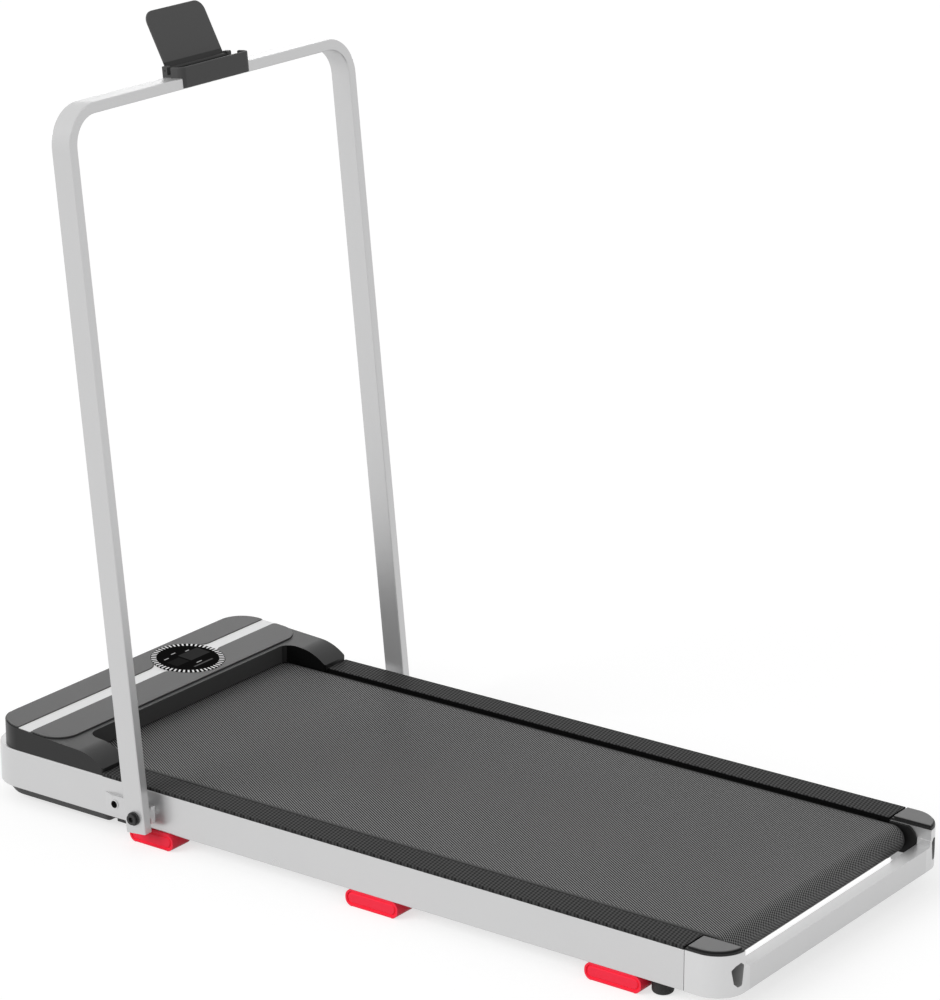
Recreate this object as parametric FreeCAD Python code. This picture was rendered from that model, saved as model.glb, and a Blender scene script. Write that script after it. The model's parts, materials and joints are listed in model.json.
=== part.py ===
import FreeCAD, Part
import math
import os

from FreeCAD import Vector

# Walking pad with a fold-down handrail. Sizes are in millimetres and degrees.
# X runs from the motor end to the step-on end, Y across the deck to the walker's right, Z up.
# The origin is on the floor under the middle of the deck frame.

# Deck frame
LENGTH = 1220.0
WIDTH = 540.0
FLOOR_GAP = 24.0
RAIL_HEIGHT = 56.0
RAIL_WIDTH = 41.5
RAIL_WALL = 2.5
FRAME_EDGE = 2.0
FRONT_CORNER_RADIUS = 54.0
FRONT_BAR_DEPTH = 20.0
REAR_CORNER_LENGTH = 62.5
REAR_CORNER_SEAM = 0.8
REAR_SPIGOT_LENGTH = 30.0
REAR_SHOULDER = 11.5
REAR_BAR_DEPTH = 20.0
REAR_BAR_HEIGHT = 32.5
BAR_WALL = 2.0
CROSS_WIDTH = 40.0
CROSS_HEIGHT = 12.0
CROSS_WALL = 1.5
CROSS_PLACE_SHARES = (0.10, 0.50, 0.90)

# Fits and cuts
OVERRUN = 1.0
SHAFT_CLEARANCE = 0.05
FIXED_CLEARANCE = 0.1
RUNNING_GAP = 0.3
PIECE_GAP = 0.5

# Foot rails and corner caps
FOOT_RAIL_THICKNESS = 4.3
FOOT_RAIL_LIP = 2.0
FOOT_RAIL_LIP_DEPTH = 10.0
FOOT_RAIL_EDGE = 1.2
CAP_TIER = 2.8
CAP_HEIGHT = 6.0
CAP_TIER_INSET = 0.8
CAP_TOP_INSET = 3.2
CAP_EDGE = 1.0

# Deck board, its cushions and screws
DECK_THICKNESS = 15.0
DECK_SIDE_GAP = 1.0
DECK_END_GAP = 8.0
CUSHION_SIZE = 30.0
CUSHION_HEIGHT = 3.2
CUSHION_INSET = 45.0
DECK_SCREW_DIAMETER = 6.0
DECK_SCREW_GRIP = 10.0
DECK_SCREW_HEAD_DIAMETER = 12.0
DECK_SCREW_HEAD_HEIGHT = 3.0

# Running belt and its rollers
BELT_THICKNESS = 1.5
BELT_SIDE_GAP = 11.7
ROLLER_DIAMETER = 35.0
ROLLER_WALL = 2.0
ROLLER_END = 1.0
AXLE_DIAMETER = 12.0
AXLE_ENTRY = 20.0
BEARING_WIDTH = 10.0
IDLER_SETBACK = 52.4
DRIVE_SETBACK = 25.0
TENSION_TRAVEL = 8.0
TENSION_BOLT_DIAMETER = 6.0
TENSION_BOLT_TIP = 14.0
TENSION_HEAD_DIAMETER = 8.0
TENSION_HEAD_LENGTH = 6.0
TENSION_BOLT_INSET = 12.2
ACCESS_DEPTH = 20.0
ACCESS_WIDTH = 19.5
ACCESS_HEIGHT = 31.0
ACCESS_DROP = 9.7
ACCESS_ROUND = 3.0
ACCESS_SHARES = (
    (0.50, 0.27),
    (0.21, 0.43),
    (-0.22, 0.52),
    (-0.50, 0.36),
    (-0.34, -0.48),
    (0.03, -0.52),
    (0.32, -0.34),
)
LEDGE_STEP = 1.5
LEDGE_HEIGHT = 41.0
GUARD_THICKNESS = 4.0
GUARD_RADIUS = 21.0
GUARD_END_GAP = 1.0

# Motor hood
HOOD_FRONT_SETBACK = 15.0
HOOD_SIDE_INSET = 1.5
HOOD_LENGTH = 147.0
HOOD_REACH = 217.0
HOOD_FRONT_HEIGHT = 35.5
HOOD_SLOPE_DEG = 3.0
HOOD_ARM_SLOPE_DEG = 39.0
HOOD_ARM_TIP_HEIGHT = 9.5
HOOD_WALL = 2.5
HOOD_CORNER_RADIUS = 45.0
HOOD_FRONT_EDGE = 2.0
HOOD_ARM_BEND = 75.0
HOOD_ARM_GAP = 3.2
HOOD_ARM_CORNER = 3.0
HOOD_THROAT_RADIUS = 18.0
HOOD_BELT_GAP = 2.5
PANEL_THICKNESS = 2.0
PANEL_INSET = 1.6
PANEL_END_RADIUS = 36.0
FRONT_PANEL_CORNER = 2.0
REAR_PANEL_CORNER = 6.0
PANEL_REAR_SETBACK = 7.5
STRIPE_SETBACK = 48.8
STRIPE_WIDTH = 21.1
STRIPE_THICKNESS = 0.8
STRIPE_GAP = 0.6
FRONT_FLARE_RADIUS = 24.0
REAR_FLARE_RADIUS = 12.0
DISPLAY_SETBACK = 63.5
DISPLAY_OFFSET_SHARE = 0.1426
DISPLAY_RADIUS = 53.0
DISPLAY_THICKNESS = 2.4
DISPLAY_GAP = 0.8
DISPLAY_BOARD_LENGTH = 60.0
DISPLAY_BOARD_WIDTH = 84.0
DISPLAY_BOARD_THICKNESS = 1.6
DISPLAY_BOARD_PARTS = 3.0

# Bottom pan and transport wheels
PAN_FLOOR = 9.5
PAN_WALL = 2.0
PAN_SIDE_INSET = 4.0
PAN_FRONT_SETBACK = 7.0
PAN_LENGTH = 219.0
PAN_FRONT_RADIUS = 52.0
PAN_REAR_RADIUS = 14.0
PAN_DRAFT = 10.0
PAN_LUG_REACH = 28.0
PAN_LUG_WIDTH = 20.0
PAN_LUG_LENGTH = 15.0
PAN_LUG_DEPTH = 6.0
WHEEL_DIAMETER = 32.0
WHEEL_WIDTH = 12.0
WHEEL_FLOOR_GAP = 2.0
WHEEL_SETBACK = 58.0
WHEEL_SIDE_GAP = 5.5
WHEEL_BORE_DIAMETER = 6.0
WHEEL_EDGE = 2.5
WHEEL_WELL_GAP = 2.0
FORK_THICKNESS = 2.0
FORK_GAP = 0.5
FORK_WIDTH = 16.0
FORK_CROWN = 2.0

# Motor, its drive belt, electronics and mains inlet
MOTOR_CENTRE_DISTANCE = 64.0
MOTOR_DIAMETER = 62.0
MOTOR_WALL = 3.0
MOTOR_END_WALL = 4.0
MOTOR_LENGTH = 140.0
MOTOR_SHAFT_DIAMETER = 10.0
MOTOR_CORE_GAP = 4.0
MOTOR_END_GAP = 6.0
MOTOR_PULLEY_DIAMETER = 16.0
MOTOR_PULLEY_OFFSET = 14.0
FAN_DIAMETER = 54.0
FAN_WIDTH = 10.0
FAN_GAP = 3.0
FAN_BLADES = 9
FAN_BLADE_THICKNESS = 2.0
FAN_HUB_DIAMETER = 22.0
FAN_PLATE = 2.5
DRIVE_PULLEY_DIAMETER = 40.0
PULLEY_WIDTH = 7.0
DRIVE_BELT_WIDTH = 6.0
DRIVE_BELT_THICKNESS = 2.0
MOUNT_LENGTH = 90.0
MOUNT_WIDTH = 44.0
MOUNT_HEIGHT_SHARE = 0.75
BOARD_LENGTH = 56.0
BOARD_WIDTH = 120.0
BOARD_THICKNESS = 1.6
BOARD_OFFSET = 60.0
BOARD_POST_DIAMETER = 8.0
BOARD_POST_HEIGHT = 10.0
BOARD_POST_INSET = 8.0
CAPACITOR_DIAMETER = 16.0
CAPACITOR_HEIGHT = 26.0
CAPACITOR_PITCH = 20.0
CHOKE_SIZE = 22.0
SINK_LENGTH = 40.0
SINK_WIDTH = 46.0
SINK_BASE = 4.0
SINK_HEIGHT = 24.0
SINK_FINS = 7
SINK_FIN_THICKNESS = 2.0
INLET_SETBACK = 60.0
INLET_WIDTH = 56.0
INLET_HEIGHT = 30.0
INLET_FLANGE = 2.5
INLET_DEPTH = 28.0
INLET_RIM = 3.0
INLET_CORNER = 3.0
SOCKET_WIDTH = 25.0
SOCKET_HEIGHT = 17.0
SOCKET_DEPTH = 16.0
PRONG_LENGTH = 11.0
PRONG_WIDTH = 2.0
PRONG_HEIGHT = 4.0
PRONG_PITCH = 7.0
ROCKER_WIDTH = 13.4
ROCKER_HEIGHT = 20.4
ROCKER_DEPTH = 8.0
ROCKER_PIVOT_DEPTH = 6.5
ROCKER_DISH = 1.8
ROCKER_REST_DEG = 7.0
ROCKER_WELL_DEPTH = 16.0
ROCKER_CLEARANCE = 1.0
ROCKER_WALL = 2.8
ROCKER_PIN_DIAMETER = 3.0
ROCKER_PIN_LENGTH = 1.6

# Skids and feet under the rails
SKID_LENGTH = 85.0
SKID_DEPTH = 38.0
SKID_INSET = 1.5
SKID_ROUND = 11.0
SKID_REAR_SETBACK = 168.0
FRONT_SKID_LENGTH = 76.0
FRONT_SKID_SHIFT = 7.0
FRONT_SKID_PROUD = 3.5
FOOT_DIAMETER = 28.5
FOOT_SETBACK = 109.5
FOOT_INSET = 27.0
FOOT_EDGE = 5.0

# Handrail, its pivots and brackets
PIVOT_SETBACK = 298.0
PIVOT_HEIGHT = 24.0
LEG_GAP = 14.0
HANDRAIL_REACH = 963.0
HANDRAIL_LEAN_DEG = 5.73
TUBE_DEPTH = 33.0
TUBE_THICKNESS = 15.0
TUBE_WALL = 1.5
TUBE_EDGE = 2.0
HANDRAIL_BEND = 55.0
LEG_BELOW_PIVOT = 21.5
LEG_INSERT_HEIGHT = 46.0
PIVOT_BOLT_DIAMETER = 10.0
PIVOT_FLANGE_DIAMETER = 19.0
PIVOT_FLANGE = 2.5
PIVOT_HEAD_DIAMETER = 15.0
PIVOT_HEAD = 4.0
PIVOT_SOCKET = 8.0
PIVOT_SOCKET_DEPTH = 3.5
PIVOT_NUT = 8.0
PIVOT_NUT_WIDTH = 17.0
BRACKET_FRONT = 76.0
BRACKET_REAR = 12.0
BRACKET_RAMP = 16.0
BRACKET_REAR_RAMP = 2.0
BRACKET_HEIGHT = 25.0
BRACKET_DROP = 1.0
BRACKET_THICKNESS = 5.5
BRACKET_BOSS_DIAMETER = 24.0
BUSH_OFFSET = 55.0
BUSH_DIAMETER = 13.5
BUSH_BORE_DIAMETER = 10.4
BUSH_RIM = 1.0

# Phone holder on the handrail
CLIP_WIDTH = 134.0
CLIP_WALL = 2.5
CLIP_BASE = 3.0
CLIP_SKIRT = 13.5
CLIP_REAR_SKIRT = 9.0
CLIP_LIP_HEIGHT = 14.5
CLIP_LIP_WALL = 4.0
CLIP_CORNER = 9.0
CLIP_RETURN = 19.5
LIP_OVERHANG = 4.5
CHEEK_WIDTH = 7.5
CHEEK_DEPTH = 8.5
CHEEK_HEIGHT = 14.5
HINGE_SETBACK = 14.5
HINGE_HEIGHT = 8.8
HINGE_PIN_DIAMETER = 3.0
BARREL_RADIUS = 4.0
PLATE_SETBACK = 1.5
PLATE_THICKNESS = 3.5
PLATE_LENGTH = 83.5
PLATE_LEAN_DEG = 22.5
PLATE_CORNER = 16.0
PLATE_EDGE = 1.0

# Places that follow from the sizes above
FRONT_X = -LENGTH / 2
REAR_X = LENGTH / 2
HALF_WIDTH = WIDTH / 2
RAIL_TOP = FLOOR_GAP + RAIL_HEIGHT
RAIL_INNER_Y = HALF_WIDTH - RAIL_WIDTH
REAR_CORNER_RADIUS = RAIL_WIDTH
REAR_BAR_HALF = RAIL_INNER_Y - REAR_SHOULDER
FRONT_BAR_HALF = HALF_WIDTH - FRONT_CORNER_RADIUS
RAIL_FRONT_X = FRONT_X + FRONT_CORNER_RADIUS
RAIL_REAR_X = REAR_X - REAR_CORNER_LENGTH
CLEAR_HALF = RAIL_INNER_Y - FOOT_RAIL_LIP
BELT_HALF = RAIL_INNER_Y - BELT_SIDE_GAP
BELT_UNDERSIDE = RAIL_TOP - BELT_THICKNESS
ROLLER_RADIUS = ROLLER_DIAMETER / 2
ROLLER_Z = BELT_UNDERSIDE - RUNNING_GAP - ROLLER_RADIUS
ROLLER_HALF = BELT_HALF + ROLLER_END
IDLER_X = REAR_X - IDLER_SETBACK
HOOD_FRONT_X = FRONT_X + HOOD_FRONT_SETBACK
HOOD_REAR_X = FRONT_X + HOOD_LENGTH
HOOD_TIP_X = FRONT_X + HOOD_REACH
HOOD_HALF = HALF_WIDTH - HOOD_SIDE_INSET
HOOD_FRONT_TOP = RAIL_TOP + HOOD_FRONT_HEIGHT
DRIVE_X = HOOD_REAR_X - DRIVE_SETBACK
MOTOR_X = DRIVE_X - MOTOR_CENTRE_DISTANCE
PULLEY_START_Y = ROLLER_HALF
PULLEY_MIDDLE_Y = PULLEY_START_Y + PULLEY_WIDTH / 2
MOTOR_END_Y = PULLEY_START_Y - MOTOR_PULLEY_OFFSET
MOTOR_START_Y = MOTOR_END_Y - MOTOR_LENGTH
DECK_TOP = BELT_UNDERSIDE - RUNNING_GAP
DECK_BOTTOM = DECK_TOP - DECK_THICKNESS
DECK_FRONT_X = DRIVE_X + ROLLER_RADIUS + DECK_END_GAP
DECK_REAR_X = IDLER_X - ROLLER_RADIUS - DECK_END_GAP
CROSS_TOP = DECK_BOTTOM - CUSHION_HEIGHT
CROSS_BOTTOM = CROSS_TOP - CROSS_HEIGHT
CROSS_PLACES = [DECK_FRONT_X + share * (DECK_REAR_X - DECK_FRONT_X) for share in CROSS_PLACE_SHARES]
CUSHION_Y = BELT_HALF - CUSHION_INSET
PAN_TOP = PAN_FLOOR + PAN_WALL
PAN_FRONT_X = FRONT_X + PAN_FRONT_SETBACK
PAN_REAR_X = PAN_FRONT_X + PAN_LENGTH
PAN_HALF = HALF_WIDTH - PAN_SIDE_INSET
WHEEL_X = FRONT_X + WHEEL_SETBACK
WHEEL_Z = WHEEL_FLOOR_GAP + WHEEL_DIAMETER / 2
WHEEL_Y = RAIL_INNER_Y - WHEEL_SIDE_GAP - WHEEL_WIDTH / 2
STRIPE_FRONT_X = HOOD_FRONT_X + STRIPE_SETBACK
STRIPE_REAR_X = STRIPE_FRONT_X + STRIPE_WIDTH
DISPLAY_X = HOOD_FRONT_X + DISPLAY_SETBACK
DISPLAY_Y = DISPLAY_OFFSET_SHARE * WIDTH
PANEL_REAR_X = HOOD_REAR_X - PANEL_REAR_SETBACK
BOARD_X = MOTOR_X
INLET_Z = FLOOR_GAP + RAIL_HEIGHT / 2
INLET_MIDDLE_Y = INLET_SETBACK - FRONT_BAR_HALF
SOCKET_Y = INLET_MIDDLE_Y + INLET_WIDTH / 2 - INLET_RIM - SOCKET_WIDTH / 2
ROCKER_WELL_HALF = ROCKER_WIDTH / 2 + RUNNING_GAP
ROCKER_Y = INLET_MIDDLE_Y - INLET_WIDTH / 2 + INLET_RIM + ROCKER_WALL + ROCKER_WELL_HALF
ROCKER_PIN_HALF = ROCKER_WELL_HALF + ROCKER_PIN_LENGTH
ROCKER_X = FRONT_X + ROCKER_PIVOT_DEPTH
PIVOT_X = FRONT_X + PIVOT_SETBACK
PIVOT_Z = FLOOR_GAP + PIVOT_HEIGHT
SKID_REAR_X = REAR_X - SKID_REAR_SETBACK
SKID_PLACES = ((PIVOT_X + SKID_REAR_X) / 2, SKID_REAR_X)
BRACKET_Z = PIVOT_Z - BRACKET_DROP
HANDRAIL_TOP = PIVOT_Z + HANDRAIL_REACH
LEG_INNER_Y = HALF_WIDTH + LEG_GAP
HANDRAIL_HALF = LEG_INNER_Y + TUBE_THICKNESS
TENSION_Y = RAIL_INNER_Y + TENSION_BOLT_INSET
CLIP_REAR_X = PIVOT_X - TUBE_DEPTH / 2 - CLIP_WALL
CLIP_FRONT_X = PIVOT_X + TUBE_DEPTH / 2 + CLIP_WALL
HINGE_X = PIVOT_X - HINGE_SETBACK
HINGE_Z = HANDRAIL_TOP + HINGE_HEIGHT
BARREL_HALF = CLIP_WIDTH / 2 - CHEEK_WIDTH - RUNNING_GAP

PLANES = {
    "xy": (lambda u, v: Vector(u, v, 0), Vector(0, 0, 1)),
    "xz": (lambda u, v: Vector(u, 0, v), Vector(0, 1, 0)),
    "yz": (lambda u, v: Vector(0, u, v), Vector(1, 0, 0)),
}
SAME_POINT = 1e-6


def box(x, y, z):
    """Box between two limits along each axis."""
    return Part.makeBox(x[1] - x[0], y[1] - y[0], z[1] - z[0], Vector(x[0], y[0], z[0]))


def rod(axis, radius, centre, span):
    """Round bar along one axis; centre gives the two other coordinates in axis order."""
    direction = {"x": Vector(1, 0, 0), "y": Vector(0, 1, 0), "z": Vector(0, 0, 1)}[axis]
    base = {
        "x": Vector(span[0], centre[0], centre[1]),
        "y": Vector(centre[0], span[0], centre[1]),
        "z": Vector(centre[0], centre[1], span[0]),
    }[axis]
    return Part.makeCylinder(radius, span[1] - span[0], base, direction)


def ring(axis, outer, inner, centre, span):
    """Round tube along one axis."""
    bore = (span[0] - OVERRUN, span[1] + OVERRUN)
    return rod(axis, outer, centre, span).cut(rod(axis, inner, centre, bore))


def rounded_wire(corners, plane, height):
    """Closed outline through corners (u, v, radius), each rounded by a tangent arc."""
    lay, normal = PLANES[plane]
    shift = normal * height
    joints = []
    for index, (u, v, radius) in enumerate(corners):
        here = lay(u, v) + shift
        back = (lay(*corners[index - 1][:2]) + shift - here).normalize()
        ahead = (lay(*corners[(index + 1) % len(corners)][:2]) + shift - here).normalize()
        half_angle = back.getAngle(ahead) / 2
        reach = radius / math.tan(half_angle)
        bisector = (back + ahead).normalize() if radius else Vector()
        middle = here + bisector * (radius / math.sin(half_angle) - radius)
        joints.append((here + back * reach, middle, here + ahead * reach, radius))
    edges = []
    for index, (start, middle, end, radius) in enumerate(joints):
        if radius:
            edges.append(Part.Arc(start, middle, end).toShape())
        following = joints[(index + 1) % len(joints)][0]
        if end.distanceToPoint(following) > SAME_POINT:
            edges.append(Part.LineSegment(end, following).toShape())
    return Part.Wire(edges)


def slab(corners, plane, start, end):
    """Solid with a rounded outline in one plane, between two places along the plane's normal."""
    face = Part.Face(rounded_wire(corners, plane, start))
    return face.extrude(PLANES[plane][1] * (end - start))


def mirrored(shape):
    """The same piece on the other side of the deck."""
    return shape.mirror(Vector(0, 0, 0), Vector(0, 1, 0))


def both_sides(shape):
    return Part.makeCompound([shape, mirrored(shape)])


def leaned(shape):
    """A piece drawn on an upright handrail, leaned to where the handrail rests."""
    return shape.rotated(Vector(PIVOT_X, 0, PIVOT_Z), Vector(0, 1, 0), -HANDRAIL_LEAN_DEG)


def frame_section(inner, outer):
    """Upright section of the frame between two places, rounded along the outer edges."""
    return [
        (inner, FLOOR_GAP, 0),
        (outer, FLOOR_GAP, FRAME_EDGE),
        (outer, RAIL_TOP, FRAME_EDGE),
        (inner, RAIL_TOP, 0),
    ]


# Side rails, bars and corners of the frame
def right_rail():
    body = slab(frame_section(RAIL_INNER_Y, HALF_WIDTH), "yz", RAIL_FRONT_X, RAIL_REAR_X)
    hollow = box(
        (RAIL_FRONT_X - OVERRUN, RAIL_REAR_X + OVERRUN),
        (RAIL_INNER_Y + RAIL_WALL, HALF_WIDTH - RAIL_WALL),
        (FLOOR_GAP + RAIL_WALL, RAIL_TOP - RAIL_WALL),
    )
    inner_wall = (RAIL_INNER_Y - OVERRUN, RAIL_INNER_Y + RAIL_WALL + OVERRUN)
    outer_wall = (HALF_WIDTH - RAIL_WALL - OVERRUN, HALF_WIDTH + OVERRUN)
    axle_hole = rod("y", AXLE_DIAMETER / 2 + FIXED_CLEARANCE, (DRIVE_X, ROLLER_Z), inner_wall)
    bolt_hole = rod("y", PIVOT_BOLT_DIAMETER / 2 + FIXED_CLEARANCE, (PIVOT_X, PIVOT_Z), outer_wall)
    bush_hole = rod("y", BUSH_DIAMETER / 2, (PIVOT_X - BUSH_OFFSET, BRACKET_Z), outer_wall)
    return body.cut([hollow, axle_hole, bolt_hole, bush_hole])


def front_right_corner():
    centre = Vector(RAIL_FRONT_X, FRONT_BAR_HALF, 0)
    section = frame_section(HALF_WIDTH - FRONT_BAR_DEPTH, HALF_WIDTH)
    face = Part.Face(rounded_wire(section, "yz", RAIL_FRONT_X))
    return face.revolve(centre, Vector(0, 0, 1), 90)


def front_bar():
    half = FRONT_BAR_HALF
    back_x = FRONT_X + FRONT_BAR_DEPTH
    body = slab(frame_section(back_x, FRONT_X), "xz", -half, half)
    hollow = box(
        (FRONT_X + RAIL_WALL, back_x - RAIL_WALL),
        (-half - OVERRUN, half + OVERRUN),
        (FLOOR_GAP + RAIL_WALL, RAIL_TOP - RAIL_WALL),
    )
    flange_seat = inlet_outline(0, FRONT_X - OVERRUN, FRONT_X + INLET_FLANGE)
    body_window = inlet_outline(INLET_RIM - FIXED_CLEARANCE, FRONT_X - OVERRUN, back_x + OVERRUN)
    return body.cut([hollow, flange_seat, body_window])


def corner_outline(inset, height):
    """Plan outline of a rear corner, drawn in from its edges by one amount."""
    centre_x = REAR_X - REAR_CORNER_RADIUS
    centre_y = HALF_WIDTH - REAR_CORNER_RADIUS
    radius = REAR_CORNER_RADIUS - inset
    inner_y = RAIL_INNER_Y + inset
    outer_y = HALF_WIDTH - inset
    seam_x = RAIL_REAR_X + REAR_CORNER_SEAM + inset
    end_x = centre_x + math.sqrt(radius**2 - (inner_y - centre_y) ** 2)
    half_turn = (math.pi / 2 + math.atan2(inner_y - centre_y, end_x - centre_x)) / 2
    middle = Vector(centre_x + radius * math.cos(half_turn), centre_y + radius * math.sin(half_turn), height)
    start = Vector(centre_x, outer_y, height)
    end = Vector(end_x, inner_y, height)
    seam = [end, Vector(seam_x, inner_y, height), Vector(seam_x, outer_y, height), start]
    return Part.Wire([Part.makePolygon(seam), Part.Arc(start, middle, end).toShape()])


def corner_tier(inset, low, high):
    return Part.Face(corner_outline(inset, low)).extrude(Vector(0, 0, high - low))


def rear_right_corner():
    bar_x = REAR_X - REAR_BAR_DEPTH
    bar_top = FLOOR_GAP + REAR_BAR_HEIGHT
    body = corner_tier(0, FLOOR_GAP, RAIL_TOP)
    shoulder = box((bar_x, REAR_X), (REAR_BAR_HALF, RAIL_INNER_Y), (FLOOR_GAP, bar_top))
    ledge_y = (RAIL_INNER_Y - LEDGE_STEP, RAIL_INNER_Y)
    ledge = box((bar_x, REAR_X), ledge_y, (FLOOR_GAP, FLOOR_GAP + LEDGE_HEIGHT))
    slot_x = (IDLER_X, IDLER_X + TENSION_TRAVEL)
    slot_half = AXLE_DIAMETER / 2 + FIXED_CLEARANCE
    slot_y = (RAIL_INNER_Y - OVERRUN, RAIL_INNER_Y + AXLE_ENTRY + PIECE_GAP)
    slot = box(slot_x, slot_y, (ROLLER_Z - slot_half, ROLLER_Z + slot_half))
    slot_ends = [rod("y", slot_half, (x, ROLLER_Z), slot_y) for x in slot_x]
    access = slab(
        [
            (TENSION_Y + ACCESS_WIDTH * y, ROLLER_Z - ACCESS_DROP + ACCESS_HEIGHT * z, ACCESS_ROUND)
            for y, z in ACCESS_SHARES
        ],
        "yz",
        REAR_X - ACCESS_DEPTH,
        REAR_X + OVERRUN,
    )
    hollow = RAIL_WALL + FIXED_CLEARANCE
    spigot = box(
        (RAIL_REAR_X - REAR_SPIGOT_LENGTH, RAIL_REAR_X + REAR_CORNER_SEAM),
        (RAIL_INNER_Y + hollow, HALF_WIDTH - hollow),
        (FLOOR_GAP + hollow, RAIL_TOP - hollow),
    )
    bolt_x = (IDLER_X - TENSION_BOLT_TIP, REAR_X - ACCESS_DEPTH + OVERRUN)
    bolt_hole = rod("x", TENSION_BOLT_DIAMETER / 2 + FIXED_CLEARANCE, (TENSION_Y, ROLLER_Z), bolt_x)
    return body.fuse([shoulder, ledge, spigot]).removeSplitter().cut([slot, *slot_ends, access, bolt_hole])


def rear_bar():
    low, high = FLOOR_GAP, FLOOR_GAP + REAR_BAR_HEIGHT
    inner_x = REAR_X - REAR_BAR_DEPTH
    body = box((inner_x, REAR_X), (-REAR_BAR_HALF, REAR_BAR_HALF), (low, high))
    hollow = box(
        (inner_x + BAR_WALL, REAR_X - BAR_WALL),
        (-REAR_BAR_HALF - OVERRUN, REAR_BAR_HALF + OVERRUN),
        (low + BAR_WALL, high - BAR_WALL),
    )
    return body.cut(hollow)


def cross_members():
    screw_hole = DECK_SCREW_DIAMETER / 2 + FIXED_CLEARANCE
    members = []
    for x in CROSS_PLACES:
        sides = (x - CROSS_WIDTH / 2, x + CROSS_WIDTH / 2)
        body = box(sides, (-RAIL_INNER_Y, RAIL_INNER_Y), (CROSS_BOTTOM, CROSS_TOP))
        hollow = box(
            (sides[0] + CROSS_WALL, sides[1] - CROSS_WALL),
            (-RAIL_INNER_Y - OVERRUN, RAIL_INNER_Y + OVERRUN),
            (CROSS_BOTTOM + CROSS_WALL, CROSS_TOP - CROSS_WALL),
        )
        span = (CROSS_BOTTOM - OVERRUN, CROSS_TOP + OVERRUN)
        holes = [rod("z", screw_hole, (x, y), span) for y in (-CUSHION_Y, CUSHION_Y)]
        members.append(body.cut([hollow, *holes]))
    return Part.makeCompound(members)


# Foot rails, corner caps, skids and feet
def right_foot_rail():
    top = RAIL_TOP + FOOT_RAIL_THICKNESS
    low = RAIL_TOP - FOOT_RAIL_LIP_DEPTH
    section = [
        (CLEAR_HALF, low, 0),
        (RAIL_INNER_Y, low, 0),
        (RAIL_INNER_Y, RAIL_TOP, 0),
        (HALF_WIDTH, RAIL_TOP, 0),
        (HALF_WIDTH, top, FOOT_RAIL_EDGE),
        (CLEAR_HALF, top, FOOT_RAIL_EDGE),
    ]
    return slab(section, "yz", HOOD_TIP_X + PIECE_GAP, RAIL_REAR_X - PIECE_GAP)


def right_corner_cap():
    lower = corner_tier(CAP_TIER_INSET, RAIL_TOP, RAIL_TOP + CAP_TIER)
    upper = corner_tier(CAP_TOP_INSET, RAIL_TOP + CAP_TIER, RAIL_TOP + CAP_HEIGHT)
    rim = [edge for edge in upper.Edges if edge.BoundBox.ZMin > RAIL_TOP + CAP_HEIGHT - SAME_POINT]
    return lower.fuse(upper.makeFillet(CAP_EDGE, rim)).removeSplitter()


def skid(middle, length, outer_y):
    front, rear = middle - length / 2, middle + length / 2
    outline = [
        (front, 0, SKID_ROUND),
        (rear, 0, SKID_ROUND),
        (rear, FLOOR_GAP, SKID_ROUND),
        (front, FLOOR_GAP, SKID_ROUND),
    ]
    return slab(outline, "xz", outer_y - SKID_DEPTH, outer_y)


def right_skids():
    """The front one stands out a little further, under the handrail bracket."""
    front = skid(PIVOT_X + FRONT_SKID_SHIFT, FRONT_SKID_LENGTH, HALF_WIDTH + FRONT_SKID_PROUD)
    others = [skid(middle, SKID_LENGTH, HALF_WIDTH - SKID_INSET) for middle in SKID_PLACES]
    return Part.makeCompound([front, *others])


def rear_feet():
    foot = rod("z", FOOT_DIAMETER / 2, (REAR_X - FOOT_SETBACK, HALF_WIDTH - FOOT_INSET), (0, FLOOR_GAP))
    rim = [edge for edge in foot.Edges if edge.BoundBox.ZMax < SAME_POINT]
    return both_sides(foot.makeFillet(FOOT_EDGE, rim))


# Deck board and what carries it
def deck_places():
    return [(x, y) for x in CROSS_PLACES for y in (-CUSHION_Y, CUSHION_Y)]


def deck_board():
    half = CLEAR_HALF - DECK_SIDE_GAP
    body = box((DECK_FRONT_X, DECK_REAR_X), (-half, half), (DECK_BOTTOM, DECK_TOP))
    span = (DECK_BOTTOM - OVERRUN, DECK_BOTTOM + DECK_SCREW_GRIP + FIXED_CLEARANCE)
    radius = DECK_SCREW_DIAMETER / 2 + FIXED_CLEARANCE
    return body.cut([rod("z", radius, place, span) for place in deck_places()])


def deck_cushions():
    half = CUSHION_SIZE / 2
    radius = DECK_SCREW_DIAMETER / 2 + FIXED_CLEARANCE
    cushions = []
    for x, y in deck_places():
        body = box((x - half, x + half), (y - half, y + half), (CROSS_TOP, DECK_BOTTOM))
        cushions.append(body.cut(rod("z", radius, (x, y), (CROSS_TOP - OVERRUN, DECK_BOTTOM + OVERRUN))))
    return Part.makeCompound(cushions)


def deck_screws():
    screws = []
    for place in deck_places():
        shank = rod("z", DECK_SCREW_DIAMETER / 2, place, (CROSS_BOTTOM, DECK_BOTTOM + DECK_SCREW_GRIP))
        head_z = (CROSS_BOTTOM - DECK_SCREW_HEAD_HEIGHT, CROSS_BOTTOM)
        screws.append(shank.fuse(rod("z", DECK_SCREW_HEAD_DIAMETER / 2, place, head_z)).removeSplitter())
    return Part.makeCompound(screws)


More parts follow.
